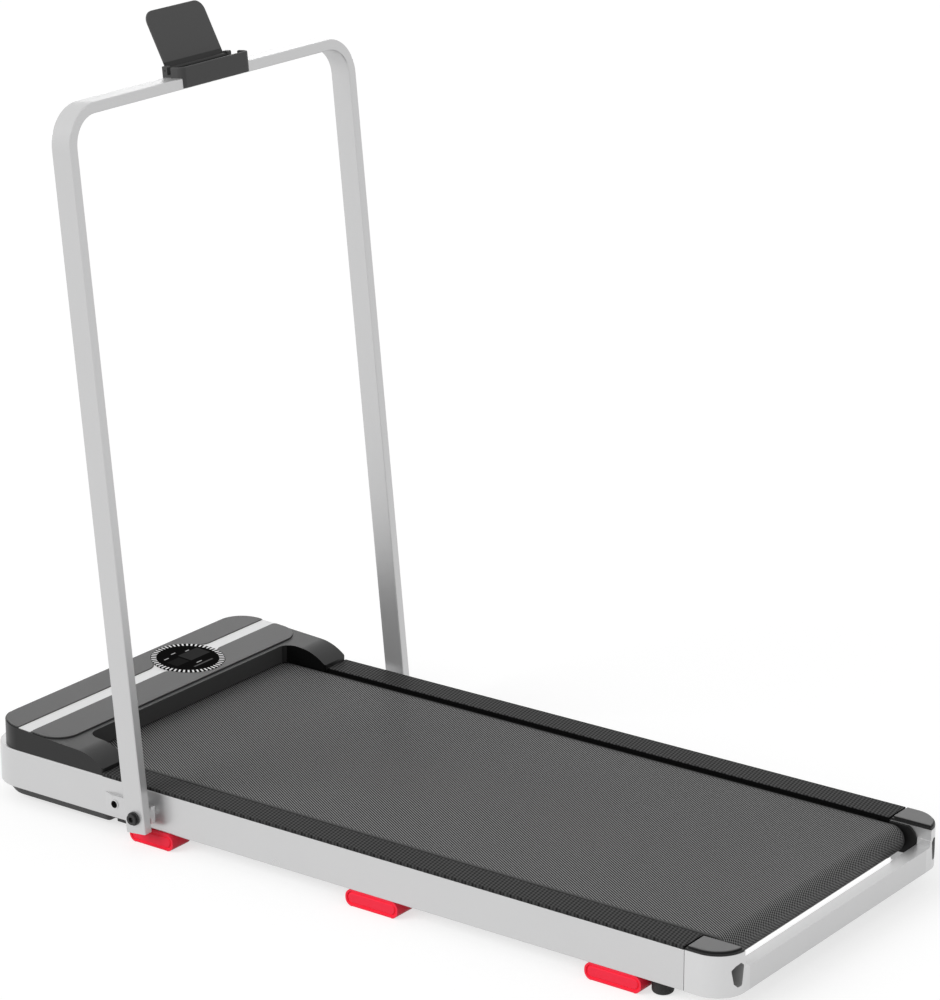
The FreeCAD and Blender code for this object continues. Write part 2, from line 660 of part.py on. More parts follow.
# Running belt, rollers and axles
def loop_face(front, front_radius, rear, rear_radius, y):
    """Face inside the line of a belt round two wheels on one level."""
    lean = (front_radius - rear_radius) / (rear - front)
    rise = math.sqrt(1 - lean**2)

    def touch(x, radius, side):
        return Vector(x + radius * lean, y, ROLLER_Z + side * radius * rise)

    front_top, front_low = touch(front, front_radius, 1), touch(front, front_radius, -1)
    rear_top, rear_low = touch(rear, rear_radius, 1), touch(rear, rear_radius, -1)
    front_end = Vector(front - front_radius, y, ROLLER_Z)
    rear_end = Vector(rear + rear_radius, y, ROLLER_Z)
    edges = [
        Part.LineSegment(front_top, rear_top).toShape(),
        Part.Arc(rear_top, rear_end, rear_low).toShape(),
        Part.LineSegment(rear_low, front_low).toShape(),
        Part.Arc(front_low, front_end, front_top).toShape(),
    ]
    return Part.Face(Part.Wire(edges))


def belt_loop(front, front_radius, rear, rear_radius, thickness, y):
    """Closed belt round two wheels, a running gap off their faces."""
    inner = loop_face(front, front_radius + RUNNING_GAP, rear, rear_radius + RUNNING_GAP, y[0])
    grown = RUNNING_GAP + thickness
    outer = loop_face(front, front_radius + grown, rear, rear_radius + grown, y[0])
    return outer.cut(inner).extrude(Vector(0, y[1] - y[0], 0))


def running_belt():
    return belt_loop(DRIVE_X, ROLLER_RADIUS, IDLER_X, ROLLER_RADIUS, BELT_THICKNESS, (-BELT_HALF, BELT_HALF))


def roller(x):
    return ring("y", ROLLER_RADIUS, ROLLER_RADIUS - ROLLER_WALL, (x, ROLLER_Z), (-ROLLER_HALF, ROLLER_HALF))


def roller_bearings(x):
    outer = ROLLER_RADIUS - ROLLER_WALL - FIXED_CLEARANCE
    inner = AXLE_DIAMETER / 2 + SHAFT_CLEARANCE
    return both_sides(ring("y", outer, inner, (x, ROLLER_Z), (ROLLER_HALF - BEARING_WIDTH, ROLLER_HALF)))


def drive_axle():
    half = RAIL_INNER_Y + AXLE_ENTRY
    return rod("y", AXLE_DIAMETER / 2, (DRIVE_X, ROLLER_Z), (-half, half))


def idler_axle():
    half = RAIL_INNER_Y + AXLE_ENTRY
    body = rod("y", AXLE_DIAMETER / 2, (IDLER_X, ROLLER_Z), (-half, half))
    span = (IDLER_X - AXLE_DIAMETER, IDLER_X + AXLE_DIAMETER)
    radius = TENSION_BOLT_DIAMETER / 2 + FIXED_CLEARANCE
    return body.cut([rod("x", radius, (y, ROLLER_Z), span) for y in (-TENSION_Y, TENSION_Y)])


def tension_bolts():
    seat_x = REAR_X - ACCESS_DEPTH
    shank_span = (IDLER_X - TENSION_BOLT_TIP / 2, seat_x)
    shank = rod("x", TENSION_BOLT_DIAMETER / 2, (TENSION_Y, ROLLER_Z), shank_span)
    head = hexagon(TENSION_HEAD_DIAMETER / 2, (TENSION_Y, ROLLER_Z), (seat_x, seat_x + TENSION_HEAD_LENGTH))
    return both_sides(shank.fuse(head).removeSplitter())


def hexagon(radius, centre, span):
    """Six-sided bar along X."""
    corners = [
        (
            centre[0] + radius * math.cos(side * math.pi / 3),
            centre[1] + radius * math.sin(side * math.pi / 3),
            0,
        )
        for side in range(6)
    ]
    return slab(corners, "yz", *span)


def right_roller_guard():
    y = (RAIL_INNER_Y - GUARD_THICKNESS, RAIL_INNER_Y)
    front = RAIL_REAR_X + PIECE_GAP
    end = REAR_X - REAR_BAR_DEPTH - GUARD_END_GAP
    middle = end - GUARD_RADIUS
    low, high = ROLLER_Z - GUARD_RADIUS, ROLLER_Z + GUARD_RADIUS
    body = box((front, middle), y, (low, high)).fuse(rod("y", GUARD_RADIUS, (middle, ROLLER_Z), y))
    window = box((front, end), y, (low, RAIL_TOP - PIECE_GAP))
    span = (y[0] - OVERRUN, y[1] + OVERRUN)
    hole = rod("y", AXLE_DIAMETER / 2 + FIXED_CLEARANCE, (IDLER_X, ROLLER_Z), span)
    return body.common(window).cut(hole).removeSplitter()


# Motor, pulleys and drive belt
def motor_can():
    outer = rod("y", MOTOR_DIAMETER / 2, (MOTOR_X, ROLLER_Z), (MOTOR_START_Y, MOTOR_END_Y))
    room = (MOTOR_START_Y + MOTOR_END_WALL, MOTOR_END_Y - MOTOR_END_WALL)
    hollow = rod("y", MOTOR_DIAMETER / 2 - MOTOR_WALL, (MOTOR_X, ROLLER_Z), room)
    bore = rod(
        "y",
        MOTOR_SHAFT_DIAMETER / 2 + SHAFT_CLEARANCE,
        (MOTOR_X, ROLLER_Z),
        (MOTOR_START_Y - OVERRUN, MOTOR_END_Y + OVERRUN),
    )
    return outer.cut([hollow, bore])


def motor_rotor():
    fan_end = MOTOR_START_Y - FAN_GAP - FAN_WIDTH
    shaft = rod("y", MOTOR_SHAFT_DIAMETER / 2, (MOTOR_X, ROLLER_Z), (fan_end, PULLEY_START_Y + PULLEY_WIDTH))
    inset = MOTOR_END_WALL + MOTOR_END_GAP
    core_radius = MOTOR_DIAMETER / 2 - MOTOR_WALL - MOTOR_CORE_GAP
    core = rod("y", core_radius, (MOTOR_X, ROLLER_Z), (MOTOR_START_Y + inset, MOTOR_END_Y - inset))
    return shaft.fuse(core).removeSplitter()


def motor_pulley():
    inner = MOTOR_SHAFT_DIAMETER / 2 + FIXED_CLEARANCE
    span = (PULLEY_START_Y, PULLEY_START_Y + PULLEY_WIDTH)
    return ring("y", MOTOR_PULLEY_DIAMETER / 2, inner, (MOTOR_X, ROLLER_Z), span)


def motor_fan():
    end = MOTOR_START_Y - FAN_GAP
    span = (end - FAN_WIDTH, end)
    inner = MOTOR_SHAFT_DIAMETER / 2 + FIXED_CLEARANCE
    hub = ring("y", FAN_HUB_DIAMETER / 2, inner, (MOTOR_X, ROLLER_Z), span)
    plate = ring("y", FAN_DIAMETER / 2, inner, (MOTOR_X, ROLLER_Z), (end - FAN_PLATE, end))
    blade_x = (MOTOR_X + FAN_HUB_DIAMETER / 2 - OVERRUN, MOTOR_X + FAN_DIAMETER / 2 - OVERRUN)
    blade_z = (ROLLER_Z - FAN_BLADE_THICKNESS / 2, ROLLER_Z + FAN_BLADE_THICKNESS / 2)
    blade = box(blade_x, span, blade_z)
    centre = Vector(MOTOR_X, 0, ROLLER_Z)
    blades = [blade.rotated(centre, Vector(0, 1, 0), 360 / FAN_BLADES * step) for step in range(FAN_BLADES)]
    return hub.fuse([plate, *blades]).removeSplitter()


def drive_pulley():
    inner = AXLE_DIAMETER / 2 + RUNNING_GAP
    span = (PULLEY_START_Y, PULLEY_START_Y + PULLEY_WIDTH)
    return ring("y", DRIVE_PULLEY_DIAMETER / 2, inner, (DRIVE_X, ROLLER_Z), span)


def drive_belt():
    half = DRIVE_BELT_WIDTH / 2
    return belt_loop(
        MOTOR_X,
        MOTOR_PULLEY_DIAMETER / 2,
        DRIVE_X,
        DRIVE_PULLEY_DIAMETER / 2,
        DRIVE_BELT_THICKNESS,
        (PULLEY_MIDDLE_Y - half, PULLEY_MIDDLE_Y + half),
    )


def motor_mount():
    middle = (MOTOR_START_Y + MOTOR_END_Y) / 2
    y = (middle - MOUNT_LENGTH / 2, middle + MOUNT_LENGTH / 2)
    top = PAN_TOP + MOUNT_HEIGHT_SHARE * (ROLLER_Z - PAN_TOP)
    body = box((MOTOR_X - MOUNT_WIDTH / 2, MOTOR_X + MOUNT_WIDTH / 2), y, (PAN_TOP, top))
    span = (y[0] - OVERRUN, y[1] + OVERRUN)
    seat = rod("y", MOTOR_DIAMETER / 2 + FIXED_CLEARANCE, (MOTOR_X, ROLLER_Z), span)
    return body.cut(seat)


# Bottom pan, transport wheels and electronics
def pan_wire(wall, height):
    """Outline of the pan at a height; its sides draw in towards the floor."""
    inset = wall + PAN_DRAFT * (FLOOR_GAP - height) / (FLOOR_GAP - PAN_FLOOR)
    half = PAN_HALF - inset
    front, rear = PAN_FRONT_X + inset, PAN_REAR_X - inset
    outline = [
        (front, -half, PAN_FRONT_RADIUS - inset),
        (rear, -half, PAN_REAR_RADIUS - inset),
        (rear, half, PAN_REAR_RADIUS - inset),
        (front, half, PAN_FRONT_RADIUS - inset),
    ]
    return rounded_wire(outline, "xy", height)


def pan_form(wall, low, high):
    return Part.makeLoft([pan_wire(wall, low), pan_wire(wall, high)], True, True)


def bottom_pan():
    tray = pan_form(0, PAN_FLOOR, FLOOR_GAP)
    hollow = pan_form(PAN_WALL, PAN_TOP, FLOOR_GAP + OVERRUN)
    post_span = (PAN_FLOOR, PAN_TOP + BOARD_POST_HEIGHT)
    posts = [rod("z", BOARD_POST_DIAMETER / 2, place, post_span) for place in board_corners()]
    reach = WHEEL_DIAMETER / 2 + WHEEL_WELL_GAP
    width = WHEEL_WIDTH / 2 + FORK_GAP
    well_x, well_z = (WHEEL_X - reach, WHEEL_X + reach), (PAN_FLOOR - OVERRUN, PAN_TOP + OVERRUN)
    wells = [box(well_x, (y - width, y + width), well_z) for y in (-WHEEL_Y, WHEEL_Y)]
    lugs = both_sides(pan_lug())
    return tray.cut(hollow).fuse([*posts, *lugs.Solids]).cut(wells).removeSplitter()


def pan_lug():
    """Screw lug that reaches back from the pan under the rail."""
    y = (PAN_HALF - PAN_LUG_WIDTH, PAN_HALF)
    end = PAN_REAR_X + PAN_LUG_REACH
    arm = box((PAN_REAR_X - PAN_REAR_RADIUS, end), y, (FLOOR_GAP - PAN_WALL, FLOOR_GAP))
    return arm.fuse(box((end - PAN_LUG_LENGTH, end), y, (FLOOR_GAP - PAN_LUG_DEPTH, FLOOR_GAP)))


def board_corners():
    reach_x = BOARD_LENGTH / 2 - BOARD_POST_INSET
    reach_y = BOARD_WIDTH / 2 - BOARD_POST_INSET
    middle_y = -BOARD_OFFSET
    return [(BOARD_X + i * reach_x, middle_y + j * reach_y) for i in (-1, 1) for j in (-1, 1)]


def control_board():
    low = PAN_TOP + BOARD_POST_HEIGHT
    top = low + BOARD_THICKNESS
    y = (-BOARD_OFFSET - BOARD_WIDTH / 2, -BOARD_OFFSET + BOARD_WIDTH / 2)
    board = box((BOARD_X - BOARD_LENGTH / 2, BOARD_X + BOARD_LENGTH / 2), y, (low, top))
    first = y[0] + BOARD_POST_INSET + CAPACITOR_DIAMETER / 2
    capacitors = [
        rod(
            "z",
            CAPACITOR_DIAMETER / 2,
            (BOARD_X, first + step * CAPACITOR_PITCH),
            (low, top + CAPACITOR_HEIGHT),
        )
        for step in range(2)
    ]
    choke_y = first + 2 * CAPACITOR_PITCH
    half = CHOKE_SIZE / 2
    choke = box((BOARD_X - half, BOARD_X + half), (choke_y - half, choke_y + half), (low, top + CHOKE_SIZE))
    return board.fuse([*capacitors, choke]).removeSplitter()


def heat_sink():
    low = PAN_TOP + BOARD_POST_HEIGHT + BOARD_THICKNESS
    y_end = -BOARD_OFFSET + BOARD_WIDTH / 2
    y = (y_end - SINK_WIDTH, y_end)
    x = (BOARD_X - SINK_LENGTH / 2, BOARD_X + SINK_LENGTH / 2)
    base = box(x, y, (low, low + SINK_BASE))
    pitch = (SINK_WIDTH - SINK_FIN_THICKNESS) / (SINK_FINS - 1)
    fins = []
    for step in range(SINK_FINS):
        start = y[0] + step * pitch
        fins.append(box(x, (start, start + SINK_FIN_THICKNESS), (low, low + SINK_HEIGHT)))
    return base.fuse(fins).removeSplitter()


def inlet_outline(inset, start, end):
    half_y = INLET_WIDTH / 2 - inset
    half_z = INLET_HEIGHT / 2 - inset
    corners = [
        (INLET_MIDDLE_Y + i * half_y, INLET_Z + j * half_z, INLET_CORNER)
        for i, j in ((-1, -1), (1, -1), (1, 1), (-1, 1))
    ]
    return slab(corners, "yz", start, end)


def power_inlet():
    flange = inlet_outline(FIXED_CLEARANCE, FRONT_X, FRONT_X + INLET_FLANGE)
    body = inlet_outline(INLET_RIM, FRONT_X, FRONT_X + INLET_DEPTH)
    socket = box(
        (FRONT_X - OVERRUN, FRONT_X + SOCKET_DEPTH),
        (SOCKET_Y - SOCKET_WIDTH / 2, SOCKET_Y + SOCKET_WIDTH / 2),
        (INLET_Z - SOCKET_HEIGHT / 2, INLET_Z + SOCKET_HEIGHT / 2),
    )
    well_z = ROCKER_HEIGHT / 2 + ROCKER_CLEARANCE
    well = box(
        (FRONT_X - OVERRUN, FRONT_X + ROCKER_WELL_DEPTH),
        (ROCKER_Y - ROCKER_WELL_HALF, ROCKER_Y + ROCKER_WELL_HALF),
        (INLET_Z - well_z, INLET_Z + well_z),
    )
    pin_hole = rocker_pin(SHAFT_CLEARANCE)
    prongs = []
    for step in (-1, 0, 1):
        y = SOCKET_Y + step * PRONG_PITCH
        prongs.append(
            box(
                (FRONT_X + SOCKET_DEPTH - PRONG_LENGTH, FRONT_X + SOCKET_DEPTH + OVERRUN),
                (y - PRONG_WIDTH / 2, y + PRONG_WIDTH / 2),
                (INLET_Z - PRONG_HEIGHT / 2, INLET_Z + PRONG_HEIGHT / 2),
            )
        )
    return flange.fuse(body).cut([socket, well, pin_hole]).fuse(prongs).removeSplitter()


def rocker_pin(grown):
    """Round pin through the rocker, its ends in the walls of the well."""
    reach = ROCKER_PIN_HALF + grown
    span = (ROCKER_Y - reach, ROCKER_Y + reach)
    return rod("y", ROCKER_PIN_DIAMETER / 2 + grown, (ROCKER_X, INLET_Z), span)


def power_rocker():
    half = ROCKER_HEIGHT / 2
    front = ROCKER_X - ROCKER_DEPTH / 2
    back = ROCKER_X + ROCKER_DEPTH / 2
    outline = [
        (front, INLET_Z - half, 0),
        (front + ROCKER_DISH, INLET_Z, 0),
        (front, INLET_Z + half, 0),
        (back, INLET_Z + half / 2, 0),
        (back, INLET_Z - half / 2, 0),
    ]
    body = slab(outline, "xz", ROCKER_Y - ROCKER_WIDTH / 2, ROCKER_Y + ROCKER_WIDTH / 2)
    tilted = body.rotated(Vector(ROCKER_X, 0, INLET_Z), Vector(0, 1, 0), -ROCKER_REST_DEG)
    return tilted.fuse(rocker_pin(0)).removeSplitter()


def right_wheel():
    y = (WHEEL_Y - WHEEL_WIDTH / 2, WHEEL_Y + WHEEL_WIDTH / 2)
    tyre = rod("y", WHEEL_DIAMETER / 2, (WHEEL_X, WHEEL_Z), y)
    rims = [edge for edge in tyre.Edges if edge.Closed]
    bore = WHEEL_BORE_DIAMETER / 2 + SHAFT_CLEARANCE
    hole = rod("y", bore, (WHEEL_X, WHEEL_Z), (y[0] - OVERRUN, y[1] + OVERRUN))
    return tyre.makeFillet(WHEEL_EDGE, rims).cut(hole)


def wheel_brackets():
    inner = WHEEL_WIDTH / 2 + FORK_GAP
    outer = inner + FORK_THICKNESS
    crown_low = WHEEL_Z + WHEEL_DIAMETER / 2 + WHEEL_WELL_GAP
    x = (WHEEL_X - FORK_WIDTH / 2, WHEEL_X + FORK_WIDTH / 2)
    body = box(x, (WHEEL_Y - outer, WHEEL_Y + outer), (PAN_TOP, crown_low + FORK_CROWN))
    room = box(
        (x[0] - OVERRUN, x[1] + OVERRUN),
        (WHEEL_Y - inner, WHEEL_Y + inner),
        (PAN_TOP - OVERRUN, crown_low),
    )
    hole = rod("y", WHEEL_BORE_DIAMETER / 2 + FIXED_CLEARANCE, (WHEEL_X, WHEEL_Z), axle_span(OVERRUN))
    return both_sides(body.cut([room, hole]))


def axle_span(extra):
    half = WHEEL_WIDTH / 2 + FORK_GAP + FORK_THICKNESS + extra
    return (WHEEL_Y - half, WHEEL_Y + half)


def wheel_axles():
    return both_sides(rod("y", WHEEL_BORE_DIAMETER / 2, (WHEEL_X, WHEEL_Z), axle_span(0)))


# Motor hood with its panels, stripe and display
def hood_top(x):
    """Height of the hood's sloping top."""
    return HOOD_FRONT_TOP - (x - HOOD_FRONT_X) * math.tan(math.radians(HOOD_SLOPE_DEG))


def hood_side(wall):
    """Side view of the hood, drawn in from its outside by one wall."""
    slope = math.tan(math.radians(HOOD_SLOPE_DEG))
    arm_slope = math.tan(math.radians(HOOD_ARM_SLOPE_DEG))
    tip_x = HOOD_TIP_X - wall
    front_x = HOOD_FRONT_X + wall
    tip_z = RAIL_TOP + HOOD_ARM_TIP_HEIGHT - wall
    drop = hood_top(tip_x) - wall - tip_z
    bend_x = tip_x - drop / (arm_slope - slope)
    low = RAIL_TOP - (OVERRUN if wall else 0)
    return [
        (front_x, low, 0),
        (front_x, hood_top(front_x) - wall, HOOD_FRONT_EDGE),
        (bend_x, hood_top(bend_x) - wall, HOOD_ARM_BEND),
        (tip_x, tip_z, 0),
        (tip_x, low, 0),
    ]


def hood_plan(wall):
    """Plan of the hood, with the throat that the running belt comes out of."""
    half = HOOD_HALF - wall
    arm = BELT_HALF + HOOD_ARM_GAP + wall
    front, rear, tip = HOOD_FRONT_X + wall, HOOD_REAR_X - wall, HOOD_TIP_X - wall
    right = [
        (rear, arm, HOOD_THROAT_RADIUS + wall),
        (tip, arm, HOOD_ARM_CORNER),
        (tip, half, HOOD_ARM_CORNER),
        (front, half, HOOD_CORNER_RADIUS - wall),
    ]
    left = [(x, -y, radius) for x, y, radius in reversed(right)]
    return left + right


def hood_form(wall):
    side = slab(hood_side(wall), "xz", -HALF_WIDTH, HALF_WIDTH)
    plan = slab(hood_plan(wall), "xy", RAIL_TOP - OVERRUN, HOOD_FRONT_TOP + OVERRUN)
    return side.common(plan)


def motor_hood():
    belt_room = box(
        (HOOD_REAR_X - HOOD_THROAT_RADIUS, HOOD_TIP_X + OVERRUN),
        (-BELT_HALF - HOOD_ARM_GAP / 2, BELT_HALF + HOOD_ARM_GAP / 2),
        (RAIL_TOP - OVERRUN, RAIL_TOP + HOOD_BELT_GAP),
    )
    window = rod(
        "z",
        DISPLAY_RADIUS - DISPLAY_GAP - HOOD_WALL,
        (DISPLAY_X, DISPLAY_Y),
        (RAIL_TOP + HOOD_FRONT_HEIGHT / 2, HOOD_FRONT_TOP + OVERRUN),
    )
    return hood_form(0).cut([hood_form(HOOD_WALL), belt_room, window])


def on_hood(shape):
    """A flat piece drawn at the height of the hood's front top edge, laid on the sloping top."""
    return shape.rotated(Vector(HOOD_FRONT_X, 0, HOOD_FRONT_TOP), Vector(0, 1, 0), HOOD_SLOPE_DEG)


def round_display(radius, thickness):
    """Round bar through the flat pieces at the display."""
    return rod("z", radius, (DISPLAY_X, DISPLAY_Y), (HOOD_FRONT_TOP, HOOD_FRONT_TOP + thickness))


def panel(corners, thickness, grown):
    """Flat cover piece on the hood with room for the round display."""
    body = slab(corners, "xy", HOOD_FRONT_TOP, HOOD_FRONT_TOP + thickness)
    return body.cut(round_display(DISPLAY_RADIUS + DISPLAY_GAP - grown, thickness))


def flared(shape, stripe_x, radius):
    """Rounds a panel where its round cut meets the stripe, so that the stripe flares there."""
    corners = [
        edge
        for edge in shape.Edges
        if edge.BoundBox.ZLength > PANEL_THICKNESS - SAME_POINT
        and abs(edge.CenterOfMass.x - stripe_x) < SAME_POINT
        and abs(edge.CenterOfMass.y - DISPLAY_Y) < DISPLAY_RADIUS + DISPLAY_GAP
    ]
    return shape.makeFillet(radius, corners)


def front_panel_flat(grown):
    """Front panel before it is laid on the hood, grown by one amount towards stripe and display."""
    half = HOOD_HALF - PANEL_INSET
    front = HOOD_FRONT_X + PANEL_INSET + HOOD_FRONT_EDGE
    rear = STRIPE_FRONT_X - STRIPE_GAP + grown
    end = HOOD_CORNER_RADIUS - HOOD_FRONT_EDGE - PANEL_INSET
    corners = [
        (front, -half, end),
        (rear, -half, FRONT_PANEL_CORNER),
        (rear, half, FRONT_PANEL_CORNER),
        (front, half, end),
    ]
    return flared(panel(corners, PANEL_THICKNESS, grown), rear, FRONT_FLARE_RADIUS + grown)


def rear_panel_flat(grown):
    """Rear panel before it is laid on the hood, grown by one amount towards stripe and display."""
    half = HOOD_HALF - PANEL_INSET
    front = STRIPE_REAR_X + STRIPE_GAP - grown
    rear = PANEL_REAR_X
    corners = [
        (front, -half, REAR_PANEL_CORNER),
        (rear, -half, PANEL_END_RADIUS),
        (rear, half, PANEL_END_RADIUS),
        (front, half, REAR_PANEL_CORNER),
    ]
    return flared(panel(corners, PANEL_THICKNESS, grown), front, REAR_FLARE_RADIUS + grown)


def hood_front_panel():
    return on_hood(front_panel_flat(0))


def hood_rear_panel():
    return on_hood(rear_panel_flat(0))


def light_stripe():
    half = HOOD_HALF - PANEL_INSET
    corners = [
        (STRIPE_FRONT_X, -half, 0),
        (STRIPE_REAR_X, -half, 0),
        (STRIPE_REAR_X, half, 0),
        (STRIPE_FRONT_X, half, 0),
    ]
    strip = panel(corners, STRIPE_THICKNESS, 0)
    reach = DISPLAY_RADIUS + DISPLAY_GAP
    span = (HOOD_FRONT_TOP, HOOD_FRONT_TOP + STRIPE_THICKNESS)
    zone = box((STRIPE_FRONT_X - FRONT_FLARE_RADIUS, STRIPE_REAR_X + REAR_FLARE_RADIUS), (-half, half), span)
    funnels = zone.common(round_display(reach + FRONT_FLARE_RADIUS, STRIPE_THICKNESS))
    panels = [front_panel_flat(STRIPE_GAP), rear_panel_flat(STRIPE_GAP)]
    funnels = funnels.cut([*panels, round_display(reach, STRIPE_THICKNESS)])
    return on_hood(strip.fuse(funnels).removeSplitter())


def display_lens():
    return on_hood(round_display(DISPLAY_RADIUS, DISPLAY_THICKNESS))


def display_board():
    top = HOOD_FRONT_TOP
    low = top - HOOD_WALL - DISPLAY_BOARD_PARTS
    room = DISPLAY_RADIUS - DISPLAY_GAP - HOOD_WALL - PIECE_GAP
    x = (DISPLAY_X - DISPLAY_BOARD_LENGTH / 2, DISPLAY_X + DISPLAY_BOARD_LENGTH / 2)
    y = (DISPLAY_Y - DISPLAY_BOARD_WIDTH / 2, DISPLAY_Y + DISPLAY_BOARD_WIDTH / 2)
    board = box(x, y, (low, low + DISPLAY_BOARD_THICKNESS))
    lamps = rod("z", room, (DISPLAY_X, DISPLAY_Y), (low, top))
    return on_hood(lamps.common(box(x, y, (low, top))).fuse(board).removeSplitter())


# Handrail brackets, pivots and tube
def right_handrail_bracket():
    outer_y = HALF_WIDTH + BRACKET_THICKNESS
    front, rear = PIVOT_X - BRACKET_FRONT, PIVOT_X + BRACKET_REAR
    plan = [
        (front, HALF_WIDTH, 0),
        (rear, HALF_WIDTH, 0),
        (rear - BRACKET_REAR_RAMP, outer_y, 0),
        (front + BRACKET_RAMP, outer_y, 0),
    ]
    half = BRACKET_HEIGHT / 2
    plate = slab(plan, "xy", BRACKET_Z - half, BRACKET_Z + half)
    boss_end = LEG_INNER_Y - RUNNING_GAP
    boss = rod("y", BRACKET_BOSS_DIAMETER / 2, (PIVOT_X, PIVOT_Z), (HALF_WIDTH, boss_end))
    bush_x = PIVOT_X - BUSH_OFFSET
    bush = rod("y", BUSH_DIAMETER / 2, (bush_x, BRACKET_Z), (HALF_WIDTH, outer_y + BUSH_RIM))
    span = (HALF_WIDTH - OVERRUN, boss_end + OVERRUN)
    bolt_hole = rod("y", PIVOT_BOLT_DIAMETER / 2 + FIXED_CLEARANCE, (PIVOT_X, PIVOT_Z), span)
    bush_hole = rod("y", BUSH_BORE_DIAMETER / 2, (bush_x, BRACKET_Z), span)
    return plate.fuse([boss, bush]).removeSplitter().cut([bolt_hole, bush_hole])


def turned_hexagon(radius, y):
    """Six-sided bar along Y on the handrail pivot."""
    corners = [
        (PIVOT_X + radius * math.cos(side * math.pi / 3), PIVOT_Z + radius * math.sin(side * math.pi / 3), 0)
        for side in range(6)
    ]
    return slab(corners, "xz", *y)


def pivot_bolts():
    flange_y = HANDRAIL_HALF + RUNNING_GAP
    head_y = flange_y + PIVOT_FLANGE
    end_y = head_y + PIVOT_HEAD
    inner_y = HALF_WIDTH - RAIL_WALL - PIVOT_NUT - OVERRUN
    centre = (PIVOT_X, PIVOT_Z)
    shank = rod("y", PIVOT_BOLT_DIAMETER / 2, centre, (inner_y, flange_y))
    flange = rod("y", PIVOT_FLANGE_DIAMETER / 2, centre, (flange_y, head_y))
    head = rod("y", PIVOT_HEAD_DIAMETER / 2, centre, (head_y, end_y))
    socket = turned_hexagon(PIVOT_SOCKET / 2, (end_y - PIVOT_SOCKET_DEPTH, end_y + OVERRUN))
    return both_sides(shank.fuse([flange, head]).removeSplitter().cut(socket))


def pivot_nuts():
    outer_y = HALF_WIDTH - RAIL_WALL
    span = (outer_y - PIVOT_NUT, outer_y)
    bore = rod(
        "y",
        PIVOT_BOLT_DIAMETER / 2 + FIXED_CLEARANCE,
        (PIVOT_X, PIVOT_Z),
        (span[0] - OVERRUN, span[1] + OVERRUN),
    )
    return both_sides(turned_hexagon(PIVOT_NUT_WIDTH / 2, span).cut(bore))


def handrail_band(inset, low):
    """Face view of the bent tube, drawn in from its surface by one amount."""
    outer, inner = HANDRAIL_HALF - inset, LEG_INNER_Y + inset
    top, under = HANDRAIL_TOP - inset, HANDRAIL_TOP - TUBE_THICKNESS + inset
    outer_bend = HANDRAIL_BEND - inset
    inner_bend = HANDRAIL_BEND - TUBE_THICKNESS + inset
    right = [
        (outer, top, outer_bend),
        (outer, low, 0),
        (inner, low, 0),
        (inner, under, inner_bend),
    ]
    left = [(-y, z, bend) for y, z, bend in reversed(right)]
    return right + left


def handrail_tube():
    low = PIVOT_Z - LEG_BELOW_PIVOT
    half = TUBE_DEPTH / 2
    body = slab(handrail_band(0, low), "yz", PIVOT_X - half, PIVOT_X + half)
    long_edges = [
        edge
        for edge in body.Edges
        if edge.BoundBox.XLength < SAME_POINT and edge.BoundBox.ZMax > low + TUBE_THICKNESS
    ]
    body = body.makeFillet(TUBE_EDGE, long_edges)
    core = half - TUBE_WALL
    hollow = slab(handrail_band(TUBE_WALL, low - OVERRUN), "yz", PIVOT_X - core, PIVOT_X + core)
    span = (LEG_INNER_Y - OVERRUN, HANDRAIL_HALF + OVERRUN)
    hole = rod("y", PIVOT_BOLT_DIAMETER / 2 + RUNNING_GAP, (PIVOT_X, PIVOT_Z), span)
    return leaned(body.cut([hollow, hole, mirrored(hole)]))


def leg_inserts():
    low = PIVOT_Z - LEG_BELOW_PIVOT
    half = TUBE_DEPTH / 2 - TUBE_WALL - FIXED_CLEARANCE
    y = (LEG_INNER_Y + TUBE_WALL + FIXED_CLEARANCE, HANDRAIL_HALF - TUBE_WALL - FIXED_CLEARANCE)
    body = box((PIVOT_X - half, PIVOT_X + half), y, (low, low + LEG_INSERT_HEIGHT))
    bore = rod(
        "y",
        PIVOT_BOLT_DIAMETER / 2 + SHAFT_CLEARANCE,
        (PIVOT_X, PIVOT_Z),
        (y[0] - OVERRUN, y[1] + OVERRUN),
    )
    return leaned(both_sides(body.cut(bore)))


